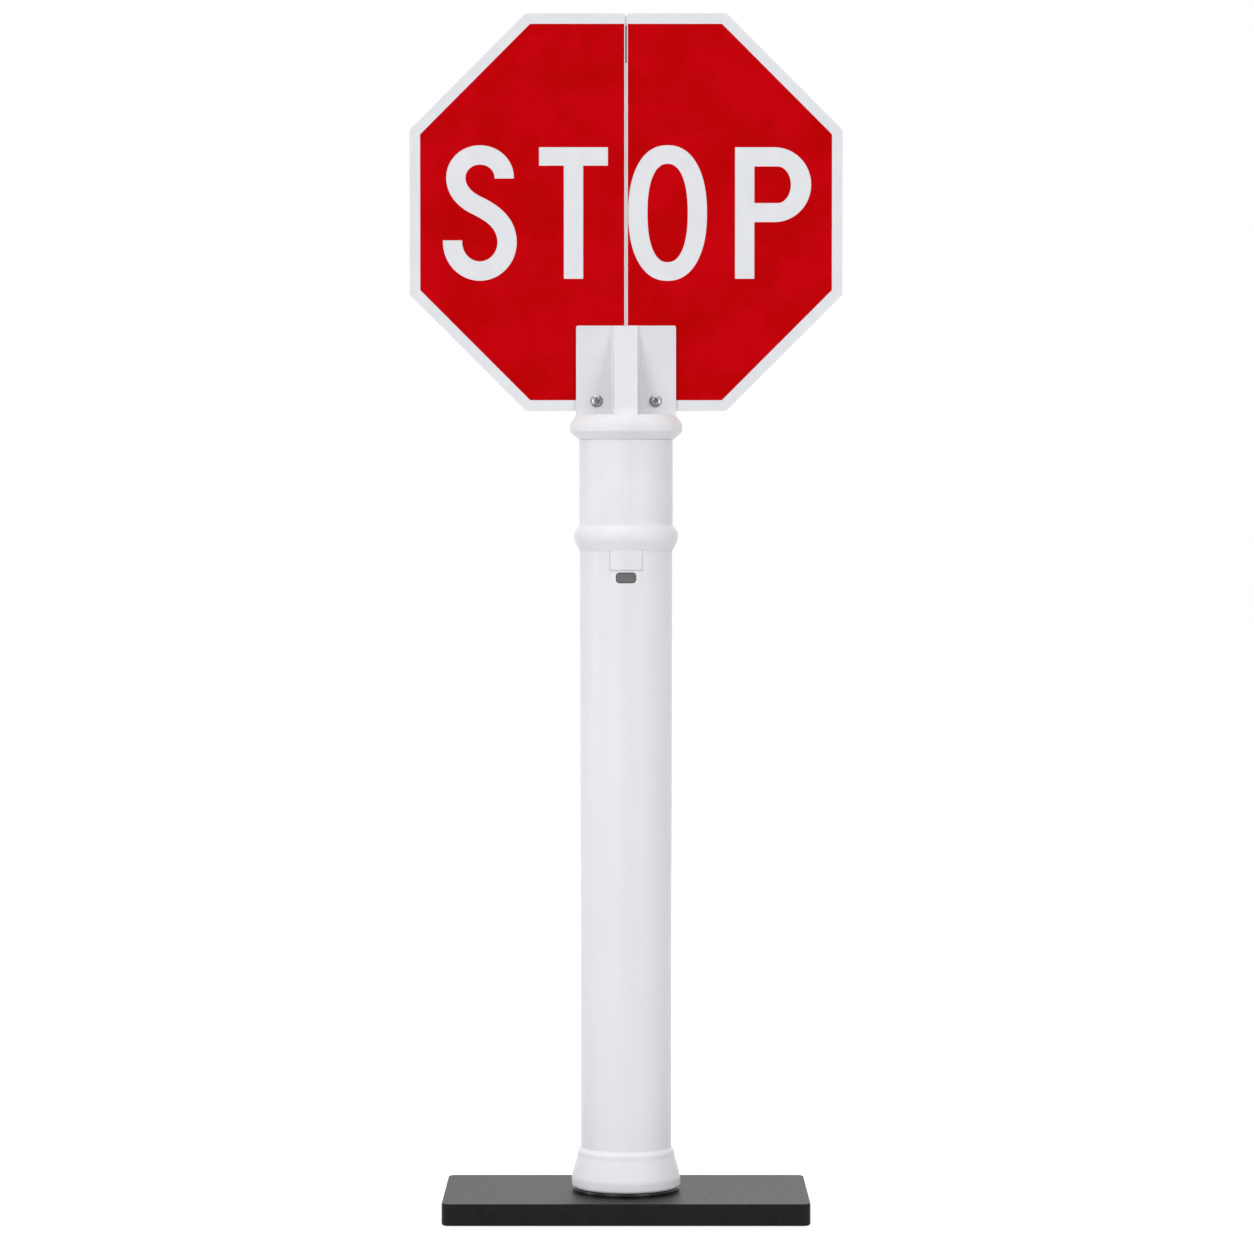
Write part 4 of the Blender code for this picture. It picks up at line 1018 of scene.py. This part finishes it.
def sheet_half(side, word, finish):
    bm = plate(half_octagon(side, 0, 0, SIGN_CORNER, SEAM_CORNER), SHEET_LOW.y, SHEET_HIGH.y, 6)
    seam = SEAM_HALF_WIDTH + SEAM_CORNER
    soften(bm, sharp_edges(bm, lambda at: abs(at.x) < seam + TINY), SEAM_EDGE, 5)
    soften(bm, sharp_edges(bm, lambda at: abs(at.x) > seam - TINY), SHEET_EDGE)
    sheet = solid(f"{word}_sheet", bm)
    cut(sheet, screw_holes())
    dressed(sheet, finish, "head", f"{word}_panel")


def arc(x, z, across, up, start, end, steps=24):
    """Points on an ellipse between two angles in degrees."""
    angles = [math.radians(start + (end - start) * i / steps) for i in range(steps + 1)]
    return [(x + across * math.cos(angle), z + up * math.sin(angle)) for angle in angles]


def bent(start, start_pull, end_pull, end, steps=24):
    """Points on a smooth bend between two places, each with a pull."""
    return [tuple(point) for point in interpolate_bezier(start, start_pull, end_pull, end, steps + 1)]


def stroke(path, width):
    """The outline of a stroke of even width along a path."""
    sides = ([], [])
    for i, point in enumerate(path):
        before, after = Vector(path[max(i - 1, 0)]), Vector(path[min(i + 1, len(path) - 1)])
        across = (after - before).normalized().orthogonal() * width / 2
        for side, sign in zip(sides, (1, -1)):
            side.append(tuple(Vector(point) + sign * across))
    return sides[0] + sides[1][::-1]


def letter_s():
    """Two bowls, the lower one wider, joined by a slanted middle."""
    half, x = STROKE / 2, S_CENTRE
    top, bottom = LETTER_TOP + OVERSHOOT - half, LETTER_BOTTOM - OVERSHOOT + half
    upper, lower = 0.0279, 0.0317
    upper_z, lower_z = S_UPPER_END + 0.0012, bottom + 0.0331
    middle = Vector((x - 0.004, 0.008))
    slant = Vector((math.cos(S_SLANT), -math.sin(S_SLANT)))
    left, right = Vector((x - upper, upper_z)), Vector((x + lower - 0.0006, lower_z))
    path = [(x + upper, S_UPPER_END)] + arc(x, upper_z, upper, top - upper_z, 0, 180)
    path += bent(left, left + Vector((0, -0.015)), middle - slant * 0.015, middle)[1:]
    path += bent(middle, middle + slant * 0.017, right + Vector((0, 0.024)), right)[1:]
    path += arc(x - 0.0003, lower_z, lower - 0.0003, lower_z - bottom, 0, -180)[1:]
    path.append((x - lower, S_LOWER_END))
    return [stroke(path, STROKE)]


def letter_t():
    stem, bar, under = STROKE / 2, 0.0397, LETTER_TOP - 0.0212
    right = [(stem, LETTER_BOTTOM), (stem, under), (bar, under), (bar, LETTER_TOP)]
    left = [(-x, z) for x, z in reversed(right)]
    return [[(T_CENTRE + x, z) for x, z in right + left]]


def letter_o():
    """Two ovals whose sides are a little straighter than an ellipse's."""
    middle = (LETTER_TOP + LETTER_BOTTOM) / 2
    tall = (LETTER_TOP - LETTER_BOTTOM) / 2 + OVERSHOOT
    loops = []
    for across, up, fullness in ((0.0454, tall, 2.25), (0.0232, tall - STROKE * 0.96, 2.3)):
        loop = []
        for c, s in arc(0, 0, 1, 1, 0, 360, 96)[:-1]:
            x = across * math.copysign(abs(c) ** (2 / fullness), c)
            z = up * math.copysign(abs(s) ** (2 / fullness), s)
            loop.append((O_CENTRE + x, middle + z))
        loops.append(loop)
    return loops


def letter_p():
    """A stem and a bowl whose outer end is rounder than its opening."""
    edge = P_LEFT + STROKE
    bottom, right = LETTER_TOP - 0.0861, P_LEFT + 0.0878
    radius = (LETTER_TOP - bottom) / 2
    outer = [(P_LEFT, LETTER_TOP), (P_LEFT, LETTER_BOTTOM), (edge, LETTER_BOTTOM), (edge, bottom)]
    outer += arc(right - radius * 0.98, bottom + radius, radius * 0.98, radius, -90, 90)
    bottom, top = bottom + 0.0219, LETTER_TOP - 0.0221
    radius = (top - bottom) / 2
    inner = [(edge, top), (edge, bottom)]
    inner += arc(right - 0.0235 - radius * 0.72, bottom + radius, radius * 0.72, radius, -90, 90)
    return [outer, inner]


def letter_plate(loop, front, back):
    return plate([(x, SIGN_CENTRE + z, 0) for x, z in loop], front, back)


def film_half(side, word, letters, finish):
    """The red film of one half, with open letters that show the white sheet."""
    front = FILM_BACK - FILM_THICKNESS
    corners = half_octagon(side, BORDER, FILM_SEAM_MARGIN, FILM_CORNER, 0)
    film = solid(f"{word}_film", plate(corners, front, FILM_BACK))
    for letter in letters:
        outside, *insides = letter()
        cut(film, letter_plate(outside, front - BEYOND, FILM_BACK + BEYOND))
        for inside in insides:
            join(film, letter_plate(inside, front, FILM_BACK))
    cut(film, screw_holes())
    dressed(film, finish, "head", f"{word}_red_film")


def flat_strip(name, node, edge):
    """A strip with round corners and soft edges, as large as its CAD node."""
    lowest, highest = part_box(node)
    bm = plate(rectangle(lowest.x, lowest.z, highest.x, highest.z, STRAP_CORNER), lowest.y, highest.y, 6)
    return solid(name, soften(bm, sharp_edges(bm), edge))


def strap(finish):
    dressed(flat_strip("dark_strap", "seam_strap", 0.0004), finish, "head", "seam_strap")


def seam_strip(finish):
    """The white strip behind the seam, open at the strap, with a low rib that fills the seam elsewhere."""
    strip = flat_strip("seam_strip", "seam_backing", 0.0005)
    (lowest, highest), (inner, outer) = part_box("seam_backing"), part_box("seam_strap")
    bottom, top = inner.z - SEAT_GAP, outer.z + SEAT_GAP
    corners = rectangle(inner.x - SEAT_GAP, bottom, outer.x + SEAT_GAP, top, STRAP_CORNER + SEAT_GAP)
    cut(strip, plate(corners, lowest.y - BEYOND, highest.y + BEYOND, 6))
    web, front = SEAM_HALF_WIDTH - RIB_GAP, SHEET_LOW.y + RIB_DROP
    for start, end in ((lowest.z + RIB_ROOT, bottom), (top, highest.z - RIB_ROOT)):
        bm = block((-web, front, start), (web, lowest.y + RIB_ROOT, end))
        join(strip, soften(bm, sharp_edges(bm), 0.0001, 2))
    dressed(strip, finish, "head", "seam_backing")


# Screws through the flanges

def cross_recess(crown):
    """A tapered cross with a round middle, which a screwdriver fits."""
    front, inside = crown - BEYOND, crown + 0.0027
    middle = [(0, front, 0), (0.0014, front, 0), (0.0014, crown, 0), (0.0009, inside, 0), (0, inside, 0)]
    tools = [turned(lathe(middle, SMALL_ROUND), -90)]
    for turn in (0, 90):
        bm = block((-0.0055, front, -0.0013), (0.0055, crown + 0.0026, 0.0013))
        inner = [vert for vert in bm.verts if vert.co.y > crown]
        bmesh.ops.scale(bm, verts=inner, vec=(0.3, 1, 0.55))
        tools.append(turned(bm, turn, "Y"))
    return tools


def panel_fasteners(side, word, finish):
    """A pan head screw, and its washer and nut behind the rear flange."""
    node = f"panel_screw_{word}"
    place = (side * SCREW_PLACE.x, 0, SCREW_PLACE.z)
    crown, tip = low(node).y, high(node).y
    seat, rim = crown + SCREW_HEAD_HEIGHT, SCREW_HEAD_RADIUS
    corners = [
        (0, crown, 0), (rim * 0.45, crown + 0.0004, 0.0012), (rim * 0.8, crown + 0.0012, 0.001),
        (rim, crown + 0.0023, 0.0006), (rim, seat, 0.0003),
        (SCREW_RADIUS, seat, 0), (SCREW_RADIUS, tip, 0.0006), (0, tip, 0),
    ]
    screw = solid(f"{word}_screw", turned(lathe(corners, SMALL_ROUND), -90))
    for tool in cross_recess(crown):
        cut(screw, tool)
    fastener(screw, place, finish, "head", node)
    node = f"panel_washer_{word}"
    ring = turned(washer_ring(SCREW_HOLE, PANEL_WASHER_RADIUS, low(node).y, high(node).y), -90)
    fastener(solid(f"{word}_washer", ring), place, finish, "head", node)
    node = f"panel_nut_{word}"
    nut = hex_bar(f"{word}_nut", PANEL_FLATS, low(node).y, high(node).y)
    cut(nut, rod(SCREW_HOLE, 0, tip + BEYOND))
    nut.data.transform(Matrix.Rotation(math.radians(-90), 4, "X"))
    fastener(nut, place, finish, "head", node)


# Stage

def floor():
    """A pale floor that shows white around the object's faint shadow."""
    bm = bmesh.new()
    bmesh.ops.create_grid(bm, x_segments=1, y_segments=1, size=20)
    plane = solid("floor", moved(bm, (0, 0, -FLOOR_DROP)))
    pale = Finish("pale_floor", 0.0)
    pale.colour, pale.roughness = (FLOOR_COLOUR,) * 3, 0.9
    seen = pale.maths("MAXIMUM", pale.rays("Camera"), pale.rays("Glossy"))
    glow = pale.node("Emission", {"Strength": pale.maths("MULTIPLY", seen, FLOOR_LIFT)})
    lifted = pale.node("AddShader", {0: pale.shader.outputs["BSDF"], 1: glow})
    pale.feed(pale.nodes["Material Output"].inputs["Surface"], lifted)
    plane.data.materials.append(pale.done())


def surroundings():
    """White to the camera, with a brighter back and ceiling in reflections, and a soft light elsewhere."""
    world = bpy.data.worlds.new("white_studio")
    bpy.context.scene.world = world
    studio = Wiring(world)
    direction = studio.node("TexCoord", {}, "Generated")

    def slope(axis, start, end, first, last):
        part = studio.node("SeparateXYZ", {"Vector": direction}, axis)
        return studio.level(part, start, end, first, last, "LINEAR")

    def backdrop(colour, strength):
        return studio.node("Background", {"Color": colour, "Strength": strength})

    back = slope("Y", -0.7, 0.1, FRONT_OF_STUDIO, 1.0)
    ceiling = slope("Z", 0.2, 0.8, FRONT_OF_STUDIO, CEILING)
    mirrored = backdrop((1, 1, 1), studio.maths("MAXIMUM", back, ceiling))
    shader = backdrop((0.985, 0.99, 1.0), slope("Z", 0.0, 1.0, HORIZON, ZENITH))
    for kind, shown in (("Glossy", mirrored), ("Transmission", mirrored), ("Camera", backdrop((1, 1, 1), 1))):
        shader = studio.node("MixShader", {0: studio.rays(kind), 1: shader, 2: shown})
    studio.feed(studio.nodes["World Output"].inputs["Surface"], shader)


def lamp(name, place, aim_height, width, height, power, colour=(1, 1, 1)):
    light = bpy.data.lights.new(name, "AREA")
    light.color = colour
    light.shape = "RECTANGLE"
    light.size = width
    light.size_y = height
    light.energy = power
    aim = Vector((0, 0, aim_height)) - Vector(place)
    placed(name, light, place, aim.to_track_quat("-Z", "Y").to_euler())


def camera():
    lens = bpy.data.cameras.new("camera")
    lens.lens = LENS
    lens.sensor_width = 36
    lens.clip_end = 100
    bpy.context.scene.camera = placed("camera", lens, EYE, (math.pi / 2 - LOOKING_DOWN, 0, 0))


def main():
    camera()
    white, grey, zinc = moulded_white(), dark_grey(), zinc_plate()
    sheet_white, sheet_red = white_sheeting(), red_sheeting()
    rubber_slab(moulded_rubber())
    hub_disc(glossy_black())
    hub_fasteners(zinc)
    foot_bell(white)
    tube_wall(drawn_white())
    neck_sleeve(grey)
    button_block(grey)
    spring_leaf(rolled_spring_steel())
    rivet(zinc)
    head_shell(white)
    for side, word, letters in ((-1, "left", (letter_s, letter_t)), (1, "right", (letter_o, letter_p))):
        sheet_half(side, word, sheet_white)
        film_half(side, word, letters, sheet_red)
        panel_fasteners(side, word, zinc)
    strap(grey)
    seam_strip(white)
    floor()
    surroundings()
    lamp("left_softbox", (-3.0, -5.2, 0.96), 0.75, 2.8, 3.0, 111)
    lamp("right_softbox", (3.69, -4.73, 0.96), 0.75, 2.8, 3.0, 118, (1.0, 0.975, 0.98))
    lamp("left_side", (-5.98, -0.52, 0.96), 0.75, 1.4, 3.0, 84)
    lamp("overhead", (-0.5, -0.35, 3.4), 0.9, 0.8, 0.8, 8)
    lamp("rear_fill", (0.4, 3.6, 3.6), 0.75, 2.0, 2.0, 80)
    bpy.context.scene.view_settings.view_transform = "Standard"


main()
